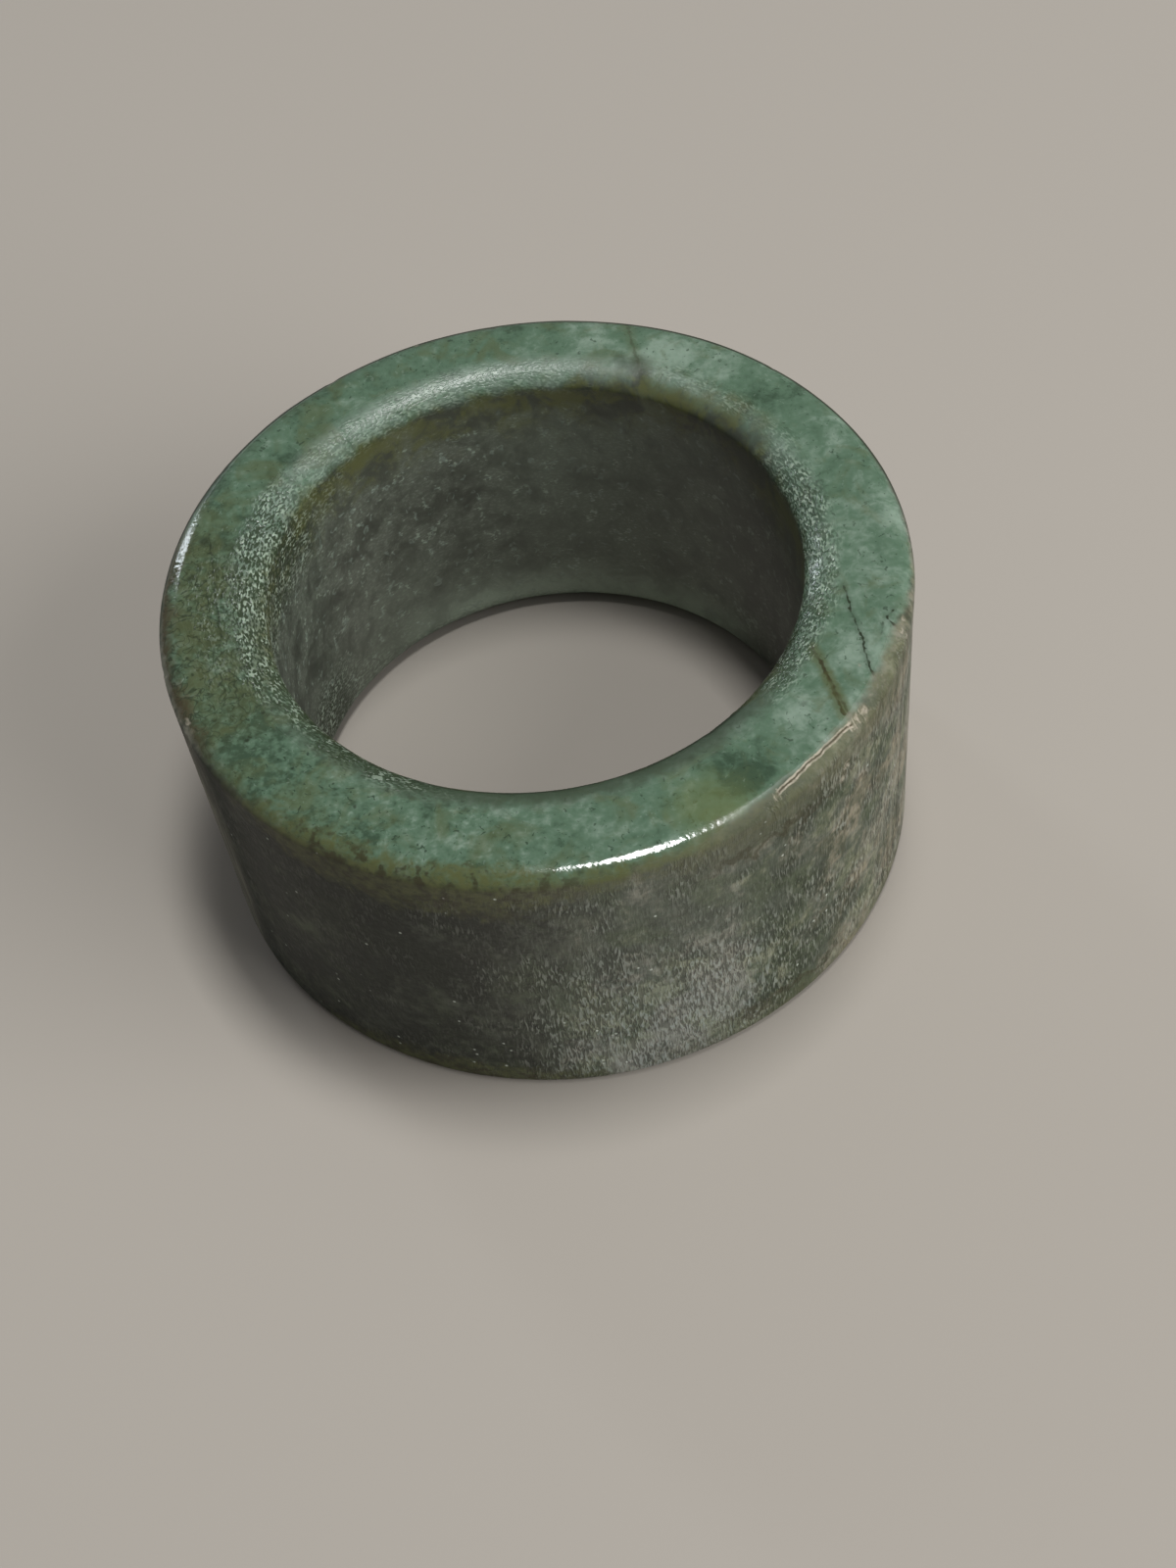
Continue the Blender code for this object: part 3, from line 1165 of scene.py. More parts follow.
@dataclass(frozen=True)
class PolishedJade:
    """Mottled green stone with a rougher, greyer skin on the wall and in the bore."""

    deep: Colour = (0.038, 0.070, 0.041)
    green: Colour = (0.086, 0.148, 0.095)
    milk: Colour = (0.215, 0.290, 0.225)
    moss: Colour = (0.082, 0.104, 0.046)
    fleck_dark: Colour = (0.020, 0.036, 0.020)
    # partly the mouth's real frost and partly a painted highlight; in the bore it paints glints
    frost_and_highlight: Colour = (0.205, 0.260, 0.215)
    # the wall's darkest skin, also painted as shade on its left, in the strokes' hollows and in edge
    # streaks
    wall_dark_and_shade: Colour = (0.010, 0.014, 0.008)
    wall_grey: Colour = (0.076, 0.089, 0.064)
    # the wall's palest skin, also painted as light on its right, in its sheen, along its far left edge and
    # in edge streaks
    wall_pale_and_lit: Colour = (0.250, 0.240, 0.190)
    # painted highlight on the ridges of the strokes
    stroke_highlight: Colour = (0.340, 0.360, 0.310)
    bore_dark: Colour = (0.042, 0.049, 0.036)
    bore_grey: Colour = (0.104, 0.120, 0.092)
    # painted light on the lit sides of the bore
    bore_lit_green: Colour = (0.150, 0.182, 0.136)
    olive: Colour = (0.070, 0.078, 0.030)
    stain: Colour = (0.120, 0.150, 0.055)
    rust: Colour = (0.084, 0.092, 0.032)
    russet: Colour = (0.062, 0.044, 0.022)
    shoulder: Colour = (0.105, 0.108, 0.058)
    shade: Colour = (0.038, 0.056, 0.030)
    # painted shade between the wrinkles
    wrinkle_shade: Colour = (0.023, 0.036, 0.016)
    # painted highlight: tops of wrinkles, glints in the bore and light bounced low into it
    highlight_silver: Colour = (0.400, 0.490, 0.385)
    # painted glints on the wall
    glint: Colour = (0.620, 0.680, 0.600)
    # dark of cracks, creases and flecks, also painted as shade along the near lip and the back edge of the
    # rim
    crack_and_edge_shade: Colour = (0.018, 0.026, 0.012)
    vein: Colour = (0.036, 0.032, 0.012)
    broken: Colour = (0.400, 0.360, 0.280)
    olive_tint: Colour = (0.92, 1.03, 0.70)
    brown_tint: Colour = (1.12, 0.98, 0.80)
    # the cool tint of the painted sheen
    sheen_tint: Colour = (0.90, 1.04, 1.20)
    paler_to_the_right: float = 0.016
    darker_to_the_back: float = 0.004
    cloud_core: float = 0.10
    fine_wrinkles: float = 12.0
    stroke_stretch: float = 0.24
    # how strongly the strokes' painted highlights and painted shade show
    stroke_highlight_share: float = 0.50
    stroke_shade_share: float = 0.62
    streak_stretch: float = 0.10
    glints_to_a_millimetre: float = 2.2
    stain_place: Spot = (4.9, -11.7)
    stain_edge: float = 2.1
    stain_core: float = 0.3
    line_fray: float = 0.16
    line_wobble: float = 0.24
    line_wobble_scale: float = 1.6
    line_core: float = 0.25
    flank_reach: float = 3.6
    widest_crack: float = 0.06
    crack_spread: float = 0.24
    vein_spread: float = 0.60
    chip: ChipMarks = ChipMarks()
    gloss: Gloss = Gloss()
    heights: Relief = Relief()
    ior: float = 1.58
    subsurface: float = 0.08
    subsurface_scale: float = 0.6 * MM
    subsurface_radius: Colour = (0.6, 1.0, 0.6)

    def material(self, sizes: BandSizes) -> bpy.types.Material:
        """Return the stone's material.

        Args:
            sizes: the ring's sizes, which place the patterns.

        Returns:
            A material whose patterns read Object coordinates.
        """
        material = bpy.data.materials.new("jade")
        material.use_nodes = True
        graph = Graph(material.node_tree)
        shader = material.node_tree.nodes["Principled BSDF"]
        at = Places(graph, sizes, graph.value("ShaderNodeTexCoord", "Object"))
        wall, bore = self.wall_share(graph, at), self.bore_share(graph, at)
        wrinkled, wrinkles = self.stored(graph, "wrinkled"), at.wrinkles(self.fine_wrinkles)
        strokes = self.strokes(graph, at)
        skin = graph.math("MAXIMUM", wall, bore)

        colour = self.body_colour(graph, at)
        colour = self.with_face_stains(graph, at, colour)
        colour = self.with_mouth_frost_light_and_shade(graph, at, colour)
        colour = self.with_hairlines(graph, at, colour)
        colour = self.with_bore(graph, at, colour, bore, wrinkles)
        colour = self.with_wrinkles(graph, at, colour, wrinkles, wrinkled)
        colour = graph.blend(wall, colour, self.wall_colour(graph, at, strokes))
        colour = self.with_rim_band(graph, at, colour)
        colour = self.with_glints(graph, at, colour, wall)
        colour = self.with_breaks(graph, at, colour)
        colour = self.with_chip_marks(graph, at, colour)
        graph.feed(shader.inputs["Base Color"], colour)
        graph.feed(shader.inputs["Roughness"], self.roughness(graph, at, skin, wrinkled))
        graph.feed(shader.inputs["Normal"], self.relief(graph, at, wrinkles * wrinkled, strokes))
        shader.inputs["IOR"].default_value = self.ior
        shader.inputs["Subsurface Weight"].default_value = self.subsurface
        shader.inputs["Subsurface Scale"].default_value = self.subsurface_scale
        shader.inputs["Subsurface Radius"].default_value = self.subsurface_radius
        return material

    def stored(self, graph: Graph, name: str) -> Value:
        """Return a number that the ring's shape has stored on its points."""
        return graph.value("ShaderNodeAttribute", "Fac", attribute_name=name, attribute_type="GEOMETRY")

    def wall_share(self, graph: Graph, at: Places) -> Value:
        """Return how much of the surface is the wall's skin, which climbs on to the rim on the right.

        Args:
            graph: the material's graph.
            at: where the point is on the ring.

        Returns:
            A share from 0 to 1.
        """
        ragged = at.sway(Grain.WALL_EDGE)
        climb = at.arc(Side.CLIMBING_SKIN) * 0.62
        return graph.step(at.over + ragged * 0.9 + climb, -0.15, 0.40)

    def bore_share(self, graph: Graph, at: Places) -> Value:
        """Return how much of the surface is the dark skin of the bore.

        Args:
            graph: the material's graph.
            at: where the point is on the ring.

        Returns:
            A share from 0 to 1.
        """
        ragged = at.sway(Grain.BORE_EDGE)
        inside = graph.step(at.bore_distance, at.mouth + 0.4, at.mouth - 0.3)
        breach = at.arc(Side.BREACHED_BACK) * 0.34 + at.arc(Side.BREACHED_RIGHT) * 0.30
        breach = breach + at.arc(Side.BREACHED_BROW) * 0.50 + at.arc(Side.BREACHED_LEFT) * 0.16
        return graph.step(at.drop + ragged * 1.1 + breach, 0.30, 1.00) * inside

    def body_colour(self, graph: Graph, at: Places) -> Value:
        """Return the green of the end faces: pools of deep green, milky clouds and fine flecks.

        Args:
            graph: the material's graph.
            at: where the point is on the ring.

        Returns:
            The colour of the polished stone.
        """
        granular = graph.between(0.45, 1.0, at.arc(Side.GRANULAR_LEFT))
        granular = granular + at.arc(Side.GRANULAR_TIP) * 0.5
        tone = at.grain(Grain.TONE) * 1.5 - 0.25
        tone = tone + at.x * self.paler_to_the_right - at.y * self.darker_to_the_back
        for cloud in CLOUDS:
            angle = math.radians(cloud.bearing)
            middle = (cloud.radius * math.cos(angle), cloud.radius * math.sin(angle), at.top)
            away = graph.vector("DISTANCE", at.point, middle)
            tone = tone + graph.step(away, cloud.reach, cloud.reach * self.cloud_core, cloud.strength)
        fine = at.sway(Grain.COTTON) * 1.5 + at.sway(Grain.FINE_GRAIN) * 1.3
        tone = tone + at.sway(Grain.POOLS) * graph.between(1.15, 1.7, granular) + fine * granular
        colour = graph.blend(graph.step(tone, -0.20, 0.55), self.deep, self.green)
        colour = graph.blend(graph.step(tone, 0.45, 1.50), colour, self.milk)
        mossy = at.grain(Grain.MOSS) + at.x * -0.004
        colour = graph.blend(graph.step(mossy, 0.48, 0.70, 0.60), colour, self.moss)
        specks = at.grain(Grain.SPECKS)
        dark = graph.step(specks, 0.66, 0.73) * graph.between(0.45, 0.80, granular)
        colour = graph.blend(dark, colour, self.fleck_dark)
        return graph.blend(graph.step(specks, 0.33, 0.25, 0.30), colour, self.milk)

    def wall_colour(self, graph: Graph, at: Places, strokes: Value) -> Value:
        """Return the grey of the outside, with a fine worming of strokes and with light and shade painted
        in.

        The left is darkened, partly as its own dark skin and partly as painted shade. The right is
        lightened as painted light, and the front has a painted sheen low down. The strokes' ridges
        are painted as highlights and their hollows as shade, the far left edge as a light line, and
        the edges seen edge-on carry streaks painted as reflections.

        Args:
            graph: the material's graph.
            at: where the point is on the ring.
            strokes: the strokes of the skin, from -1 to 1.

        Returns:
            The colour of the wall's skin.
        """
        patches, grain = at.sway(Grain.WALL_PATCHES), at.sway(Grain.WALL_GRAIN)
        # left is where shade is painted on the wall, and right is where light is painted on it
        left, right = at.arc(Side.SHADED_LEFT_WALL), at.arc(Side.LIT_RIGHT_WALL)
        low = graph.step(at.z + patches * 6.0, 9.5, 3.5)
        # shine is a painted sheen low on the front of the wall, tinted cool at the end
        shine = at.arc(Side.SHINING_WALL) * graph.between(0.20, 0.88, low)
        under = at.arc(Side.UNDER_THE_STAIN) * graph.step(at.z + patches * 5.0, at.top - 5.5, at.top - 2.5)
        tone = patches * 2.0 + grain * 1.4 + 0.36
        tone = tone - left * 0.62 + right * 0.52 + shine * 0.86 - under * 0.20
        colour = graph.blend(graph.step(tone, -0.40, 0.60), self.wall_dark_and_shade, self.wall_grey)
        colour = graph.blend(graph.step(tone, 0.50, 1.30), colour, self.wall_pale_and_lit)
        hue = at.grain(Grain.WALL_HUE)
        olive = graph.step(hue, 0.46, 0.62) * 0.50
        # the brown tint grows towards the right, partly as a painted reflection of the warm floor
        brown = graph.step(hue - right * 0.08, 0.44, 0.34) * graph.between(0.20, 0.60, right)
        colour = self.tinted(graph, olive, colour, self.olive_tint)
        colour = self.tinted(graph, brown, colour, self.brown_tint)
        # the strokes' ridges are painted as highlights and their hollows as painted shade
        colour = graph.blend(graph.math("MAXIMUM", strokes, 0.0) * self.stroke_highlight_share, colour, self.stroke_highlight)
        hollows = graph.math("MAXIMUM", strokes * -1.0, 0.0)
        colour = graph.blend(hollows * self.stroke_shade_share, colour, self.wall_dark_and_shade)
        # a painted light line along the far left edge of the wall
        colour = graph.blend(at.arc(Side.LIT_LEFT_EDGE) * 0.40, colour, self.wall_pale_and_lit)
        # the vertical streaks near the edges seen edge-on are painted lighter and darker as reflections
        lines = at.grain(Grain.WALL_STREAKS, graph.combine(at.x, at.y, at.z * self.streak_stretch))
        edge_on = graph.math("MAXIMUM", at.arc(Side.REFLECTING_RIGHT_EDGE), at.arc(Side.REFLECTING_LEFT_EDGE))
        colour = graph.blend(edge_on * graph.step(lines, 0.50, 0.62) * 0.60, colour, self.wall_pale_and_lit)
        colour = graph.blend(edge_on * graph.step(lines, 0.45, 0.36) * 0.50, colour, self.wall_dark_and_shade)
        return self.tinted(graph, shine * 0.7, colour, self.sheen_tint)

    def tinted(self, graph: Graph, share: Value, colour: Value, tint: Colour) -> Value:
        """Return a colour that is multiplied by a tint, as far as the share goes."""
        return graph.blend(share, colour, graph.blend(1.0, colour, tint, kind="MULTIPLY"))

    def with_mouth_frost_light_and_shade(self, graph: Graph, at: Places, colour: Value) -> Value:
        """Frost the worn mouth pale, from the right round the back to the left, and shade its front.

        The frost is partly the mouth's real frosting and partly a painted highlight. The shade on
        its front and the dark line along its near lip are painted shade.

        Args:
            graph: the material's graph.
            at: where the point is on the ring.
            colour: the stone's colour so far.

        Returns:
            The colour with the frost, its painted highlight and the painted shade of the mouth.
        """
        ragged = at.sway(Grain.MOUTH_EDGE)
        mouth = graph.step(at.bore_distance + ragged * 1.3, at.mouth + 0.10, at.mouth - 0.75)
        near_bore = graph.step(at.bore_distance + ragged, at.bore + 1.15, at.bore + 0.55)
        kept = 0.62 - at.arc(Side.EATEN_FROST) * near_bore * 0.50
        # the frost is partly real frosting and partly a painted highlight
        frosted_and_lit = mouth * at.arc(Side.FROSTED_AND_LIT_MOUTH) * graph.step(ragged, -0.30, 0.20) * kept
        colour = graph.blend(frosted_and_lit, colour, self.frost_and_highlight)
        colour = graph.blend(mouth * at.arc(Side.SHADED_MOUTH) * 0.80, colour, self.shade)
        # a dark line of painted shade along the near lip of the bore
        lip_shade = graph.step(at.bore_distance + ragged * 0.2, at.bore + 0.38, at.bore + 0.24)
        lip_shade = lip_shade * at.near_top(0.9, 0.6) * at.arc(Side.SHADED_LIP)
        return graph.blend(lip_shade * 0.85, colour, self.crack_and_edge_shade)

    def with_bore(self, graph: Graph, at: Places, colour: Value, bore: Value, wrinkles: Value) -> Value:
        """Lay the bore's skin over the stone: a ragged olive border, and near black with pale flecks.

        Light and shade are painted in too: painted shade on the bore's right, painted light on its
        lit sides and light bounced up low at the back, and pale worms and specks that are painted
        glints.

        Args:
            graph: the material's graph.
            at: where the point is on the ring.
            colour: the stone's colour so far.
            bore: how much of the surface is the bore's skin.
            wrinkles: the wrinkles, 1 on their tops and 0 between them.

        Returns:
            The colour with the bore's skin.
        """
        ragged = at.sway(Grain.BORE_BORDER)
        nearer = at.arc(Side.BREACHED_BROW) * 0.5 - at.arc(Side.DEEPER_BORDER) * 0.9
        depth = graph.step(at.top - at.z + ragged * 5.0 + nearer, 0.9, 3.6)
        patches = at.grain(Grain.BORE_PATCHES)
        # shaded paints shade on the right of the bore
        shaded = at.arc(Side.SHADED_BORE) * 0.14
        dark = graph.blend(graph.step(patches - shaded, 0.29, 0.70), self.bore_dark, self.bore_grey)
        # lit and lit_low paint light on the bore's lit sides
        lit_low = at.arc(Side.LIT_LOW_IN_BORE) * graph.step(at.z + ragged * 6.0, 7.5, 1.0) * 0.78
        lit = graph.math("MAXIMUM", at.arc(Side.LIT_BORE) * 0.80, lit_low)
        mottled = graph.step(patches, 0.28, 0.66)
        dark = graph.blend(lit * graph.between(0.55, 1.0, mottled), dark, self.bore_lit_green)
        # low paints light bounced up from the floor into the bottom of the bore
        low = at.arc(Side.BOUNCE_LIT_BORE) * graph.step(at.z, 3.2, 0.4)
        dark = graph.blend(low * graph.between(0.50, 0.80, mottled), dark, self.highlight_silver)
        # short pale worms painted as glints
        worms = at.ridges(Grain.BORE_WORMS, width=0.075)
        chosen = graph.step(at.grain(Grain.CHOSEN_WORMS), 0.57, 0.64)
        dark = graph.blend(worms * chosen * 0.55, dark, self.frost_and_highlight)
        # painted glints on the tops of the wrinkles
        scattered_glints = graph.step(patches, 0.42, 0.56) * graph.step(wrinkles, 0.82, 1.0)
        dark = graph.blend(scattered_glints * graph.between(0.10, 0.42, chosen), dark, self.highlight_silver)
        border = graph.blend(graph.step(patches, 0.58, 0.40) * 0.92, self.rust, self.bore_dark)
        return graph.blend(bore, colour, graph.blend(depth, border, dark))

    def with_face_stains(self, graph: Graph, at: Places, colour: Value) -> Value:
        """Lay the olive and the russet stains over the left of the face and over its front.

        Args:
            graph: the material's graph.
            at: where the point is on the ring.
            colour: the stone's colour so far.

        Returns:
            The colour with the stains.
        """
        ragged = at.grain(Grain.STAIN_EDGE)
        side = at.arc(Side.STAINED_LEFT)
        colour = graph.blend(side * graph.step(ragged, 0.24, 0.66) * 0.70, colour, self.olive)
        edge = side * graph.step(at.radius + (ragged - 0.5) * 1.4, at.rim - 0.85, at.rim - 0.25)
        colour = graph.blend(edge * 0.80, colour, self.russet)
        creases = at.ridges(Grain.CREASES, width=0.050)
        colour = graph.blend(side * creases * 0.70, colour, self.crack_and_edge_shade)
        away = graph.vector("DISTANCE", at.point, (*self.stain_place, at.top))
        patch = graph.step(away + (ragged - 0.5) * 2.0, self.stain_edge, self.stain_core)
        return graph.blend(patch * 0.60, colour, self.stain)

    def with_rim_band(self, graph: Graph, at: Places, colour: Value) -> Value:
        """Stain the rim olive along the front, and paint a thin line of shade along its edge at the back.

        Args:
            graph: the material's graph.
            at: where the point is on the ring.
            colour: the stone's colour so far.

        Returns:
            The colour with the band along the rim and the painted shade at its back.
        """
        ragged, fine = at.sway(Grain.BAND_EDGE), at.sway(Grain.BAND_GRAIN)
        strong = at.arc(Side.STRONGEST_BAND)
        lower = graph.step(at.over + ragged * 3.2 + fine * 1.2 - strong, 1.40, 0.20)
        upper = graph.step(at.over + ragged * 2.2 + fine + strong * 0.35, -0.65, 0.05)
        band = lower * upper * at.arc(Side.RIM_BAND)
        thick = graph.step(ragged * 1.2 - fine * 1.4, -0.25, 0.30)
        colour = graph.blend(band * graph.between(0.40, 0.92, thick), colour, self.rust)
        dirt = graph.step(fine * 1.8 - ragged, 0.00, 0.30)
        colour = graph.blend(band * dirt * graph.between(0.45, 0.85, strong), colour, self.vein)
        shoulder = at.arc(Side.OLIVE_SHOULDER) * graph.step(at.over + ragged * 2.0, -0.75, -0.05)
        shoulder = shoulder * graph.step(at.over + ragged * 2.4, 2.6, 0.6)
        colour = graph.blend(shoulder * graph.between(0.35, 0.75, thick), colour, self.shoulder)
        tide = graph.step(graph.math("ABSOLUTE", at.over + ragged * 3.4 - 2.0), 0.34, 0.06)
        colour = graph.blend(tide * at.arc(Side.TIDE_MARK) * 0.60, colour, self.vein)
        # a thin line of painted shade along the back edge of the rim
        back = graph.math("MAXIMUM", at.y / at.radius, 0.0)
        line = graph.step(at.radius + back * 0.34, at.rim - 0.14, at.rim - 0.05)
        line = line * at.near_top(1.0, 0.5)
        return graph.blend(line * at.arc(Side.SHADED_BACK_EDGE) * 0.95, colour, self.crack_and_edge_shade)

    def with_hairlines(self, graph: Graph, at: Places, colour: Value) -> Value:
        """Draw the fine cracks, the brown vein and the placed flecks of the upper end face.

        Args:
            graph: the material's graph.
            at: where the point is on the ring.
            colour: the stone's colour so far.

        Returns:
            The colour with the cracks and flecks.
        """
        near_top = at.near_top(1.1, 0.5)
        bent = self.wobbled(graph, at)
        fade = graph.step(at.grain(Grain.LINE_FADE), 0.34, 0.54)
        fray = at.sway(Grain.LINE_FRAY) * self.line_fray
        for line in HAIRLINES:
            distance = self.distance_to_route(graph, bent, line.route)
            drawn = graph.step(distance + fray, line.width, line.width * self.line_core, line.strength)
            if line.width < self.widest_crack:
                ink, flank, spread = self.crack_and_edge_shade, self.crack_and_edge_shade, self.crack_spread
            else:
                ink, flank, spread = self.vein, self.rust, self.vein_spread
            reach = line.width * self.flank_reach
            halo = graph.step(distance + fray, reach, line.width, line.strength * spread)
            colour = graph.blend(halo * near_top, colour, flank)
            colour = graph.blend(drawn * graph.between(0.45, 1.0, fade) * near_top, colour, ink)
        for fleck in FLECKS:
            distance = graph.vector("DISTANCE", bent, (*fleck.place, 0.0))
            drawn = graph.step(distance, fleck.reach, fleck.reach * self.line_core, fleck.strength)
            colour = graph.blend(drawn * near_top, colour, self.crack_and_edge_shade)
        return colour

    def wobbled(self, graph: Graph, at: Places) -> Value:
        """Return the place seen from above, bent a little so that lines drawn there are not straight.

        Args:
            graph: the material's graph.
            at: where the point is on the ring.

        Returns:
            The bent place.
        """
        inputs = {"Vector": at.plan, "Scale": self.line_wobble_scale, "Detail": 2.0, "Roughness": 0.62}
        shake = graph.value("ShaderNodeTexNoise", "Color", inputs)
        about_nought = graph.vector("SUBTRACT", shake, (0.5, 0.5, 0.5))
        shift = graph.vector("MULTIPLY", about_nought, (self.line_wobble, self.line_wobble, 0.0))
        return graph.vector("ADD", at.plan, shift)

    def distance_to_route(self, graph: Graph, place: Value, route: Sequence[Spot]) -> Value:
        """Return how far a place lies from a line through several points.

        Args:
            graph: the material's graph.
            place: where the point is, seen from above.
            route: the points of the line, in their order.

        Returns:
            The distance, in millimetres.
        """
        nearest: Optional[Value] = None
        for start, end in zip(route, route[1:]):
            first, last = Vector((*start, 0.0)), Vector((*end, 0.0))
            span = last - first
            offset = graph.vector("SUBTRACT", place, first)
            along = graph.vector("DOT_PRODUCT", offset, span)
            share = graph.math("MULTIPLY", along, 1.0 / span.length_squared, clamp=True)
            distance = graph.vector("DISTANCE", offset, graph.vector("SCALE", span, scale=share))
            nearest = distance if nearest is None else graph.math("MINIMUM", nearest, distance)
        return nearest

    def strokes(self, graph: Graph, at: Places) -> Value:
        """Return the fine upright worming of the skin, from -1 in its hollows to 1 on its ridges.

        Args:
            graph: the material's graph.
            at: where the point is on the ring.

        Returns:
            The height of the strokes.
        """
        swell = at.grain(Grain.STROKES, graph.combine(at.x, at.y, at.z * self.stroke_stretch))
        worms = graph.step(swell, 0.54, 0.68) - graph.step(swell, 0.49, 0.34)
        return worms * self.stored(graph, "stroked")

    def with_wrinkles(self, graph: Graph, at: Places, colour: Value, wrinkles: Value,
                      wrinkled: Value) -> Value:
        """Paint shade on the ground between the wrinkles, most on the left, and paint highlights on the
        thin lines of their tops.

        Args:
            graph: the material's graph.
            at: where the point is on the ring.
            colour: the stone's colour so far.
            wrinkles: the wrinkles, 1 on their tops and 0 between them.
            wrinkled: how strongly the surface is wrinkled.

        Returns:
            The colour with the wrinkles.
        """
        depth = graph.between(0.58, 0.86, graph.step(at.x, 4.0, -8.0))
        colour = graph.blend(wrinkled * graph.step(wrinkles, 0.70, 0.0) * depth, colour, self.wrinkle_shade)
        bright = graph.between(0.07, 0.60, graph.step(at.grain(Grain.WRINKLE_HIGHLIGHTS), 0.44, 0.60))
        lit_tops = wrinkled * bright * graph.step(wrinkles, 0.75, 1.0)
        return graph.blend(lit_tops, colour, self.highlight_silver)

    def with_glints(self, graph: Graph, at: Places, colour: Value, wall: Value) -> Value:
        """Paint small glints over the wall as highlights, in swarms, most of them low on its left.

        Args:
            graph: the material's graph.
            at: where the point is on the ring.
            colour: the stone's colour so far.
            wall: how much of the surface is the wall's skin.

        Returns:
            The colour with the painted glints.
        """
        inputs = {"Vector": at.point, "Scale": self.glints_to_a_millimetre}
        glint_cells = graph.node("ShaderNodeTexVoronoi", inputs)
        swarm = graph.step(at.grain(Grain.GLINT_SWARMS), 0.46, 0.62)
        low = at.arc(Side.LOW_GLINTS) * graph.step(at.z, 7.5, 2.5)
        luck = Value(graph, glint_cells.outputs["Color"]) + swarm * 0.10 + low * 0.22
        chosen = graph.step(luck, 0.84, 0.87)
        near = graph.step(Value(graph, glint_cells.outputs["Distance"]), 0.17, 0.06)
        return graph.blend(chosen * near * wall * 0.72, colour, self.glint)

    def with_breaks(self, graph: Graph, at: Places, colour: Value) -> Value:
        """Show pale dry stone where the surface is chipped or nicked.

        Args:
            graph: the material's graph.
            at: where the point is on the ring.
            colour: the stone's colour so far.

        Returns:
            The colour with the broken places.
        """
        tint = graph.step(at.grain(Grain.BREAK_TINT), 0.40, 0.56)
        pale = graph.blend(tint * 0.8, self.broken, self.shoulder)
        return graph.blend(self.stored(graph, "broken") * 0.75, colour, pale)

    def with_chip_marks(self, graph: Graph, at: Places, colour: Value) -> Value:
        """Draw the two pale edges of the flat chip, its frayed ends, and the thread between them.

        Args:
            graph: the material's graph.
            at: where the point is on the ring.
            colour: the stone's colour so far.

        Returns:
            The colour with the chip's marks.
        """
        chip = self.chip
        bearing = math.radians(chip.bearing)
        facing = (math.cos(bearing), math.sin(bearing), 0.0)
        aside = (-math.sin(bearing), math.cos(bearing), 0.0)
        wobble = at.sway(Grain.CHIP_WOBBLE) * chip.wobble
        worn = graph.step(at.grain(Grain.CHIP_WEAR), 0.40, 0.58)
        out = graph.vector("DOT_PRODUCT", at.plan, facing) + wobble - at.rim
        side = graph.vector("DOT_PRODUCT", at.plan, aside)
        near_rim = at.near_top(1.0, 0.6)
        there = self.drawn_line(graph, side, 0.0, chip.half_length_edge, chip.half_length) * near_rim
        inner = self.drawn_line(graph, out, chip.inner_inset, chip.line_edge, chip.line_core)
        outer = self.drawn_line(graph, out, chip.outer_inset, chip.line_edge, chip.line_core)
        thread = self.drawn_line(graph, out, chip.thread_inset, chip.thread_edge, chip.thread_core)
        colour = graph.blend(there * thread * 0.75, colour, self.russet)
        lines = there * graph.math("MAXIMUM", inner, outer) * graph.between(0.50, 0.95, worn)
        slant = side * chip.ticks_to_a_millimetre + wobble * chip.tick_wander + out * chip.tick_lean
        ticks = self.drawn_line(graph, graph.math("FRACT", slant), -0.5, *chip.tick_width)
        across = self.drawn_line(graph, out, chip.tick_inset, *chip.tick_reach) * near_rim
        far_end, near_end = [
            graph.step(side, begins, full) * graph.step(side, ends, still_full)
            for begins, full, still_full, ends in chip.frayed_ends
        ]
        ticks = ticks * across * (far_end + near_end) * graph.between(0.15, 0.60, worn)
        marks = graph.math("MAXIMUM", lines, ticks)
        return graph.blend(marks, colour, self.broken)

    def drawn_line(self, graph: Graph, place: Value, inset: float, edge: float, core: float) -> Value:
        """Return 1 within the core of a line that lies at minus its inset, and 0 beyond its edge."""
        return graph.step(graph.math("ABSOLUTE", place + inset), edge, core)

    def roughness(self, graph: Graph, at: Places, skin: Value, wrinkled: Value) -> Value:
        """Return the gloss: glassy on the faces and the rim, satin in the mouth, dull on the skin.

        Args:
            graph: the material's graph.
            at: where the point is on the ring.
            skin: how much of the surface is skin, of the wall or of the bore.
            wrinkled: how strongly the surface is wrinkled.

        Returns:
            The roughness that the shader takes.
        """
        gloss = self.gloss
        wear = at.sway(Grain.GLOSS_WEAR) * gloss.unevenness
        polished = graph.between(gloss.face, gloss.mouth, at.in_mouth())
        dull = at.arc(Side.DULL_FRONT_LEFT) * gloss.front_left + at.arc(Side.DULL_LEFT) * gloss.left
        polished = graph.between(polished, gloss.wrinkles, wrinkled)
        polished = graph.between(polished, dull + gloss.skin, skin)
        worn = at.arc(Side.WORN_RIM) * graph.step(at.over, -0.75, -0.35)
        behind = graph.step(at.radius, at.rim - 0.50, at.rim - 0.30) * at.arc(Side.DULL_BACK_RIM)
        return graph.between(polished, gloss.worn, graph.math("MAXIMUM", worn, behind)) + wear

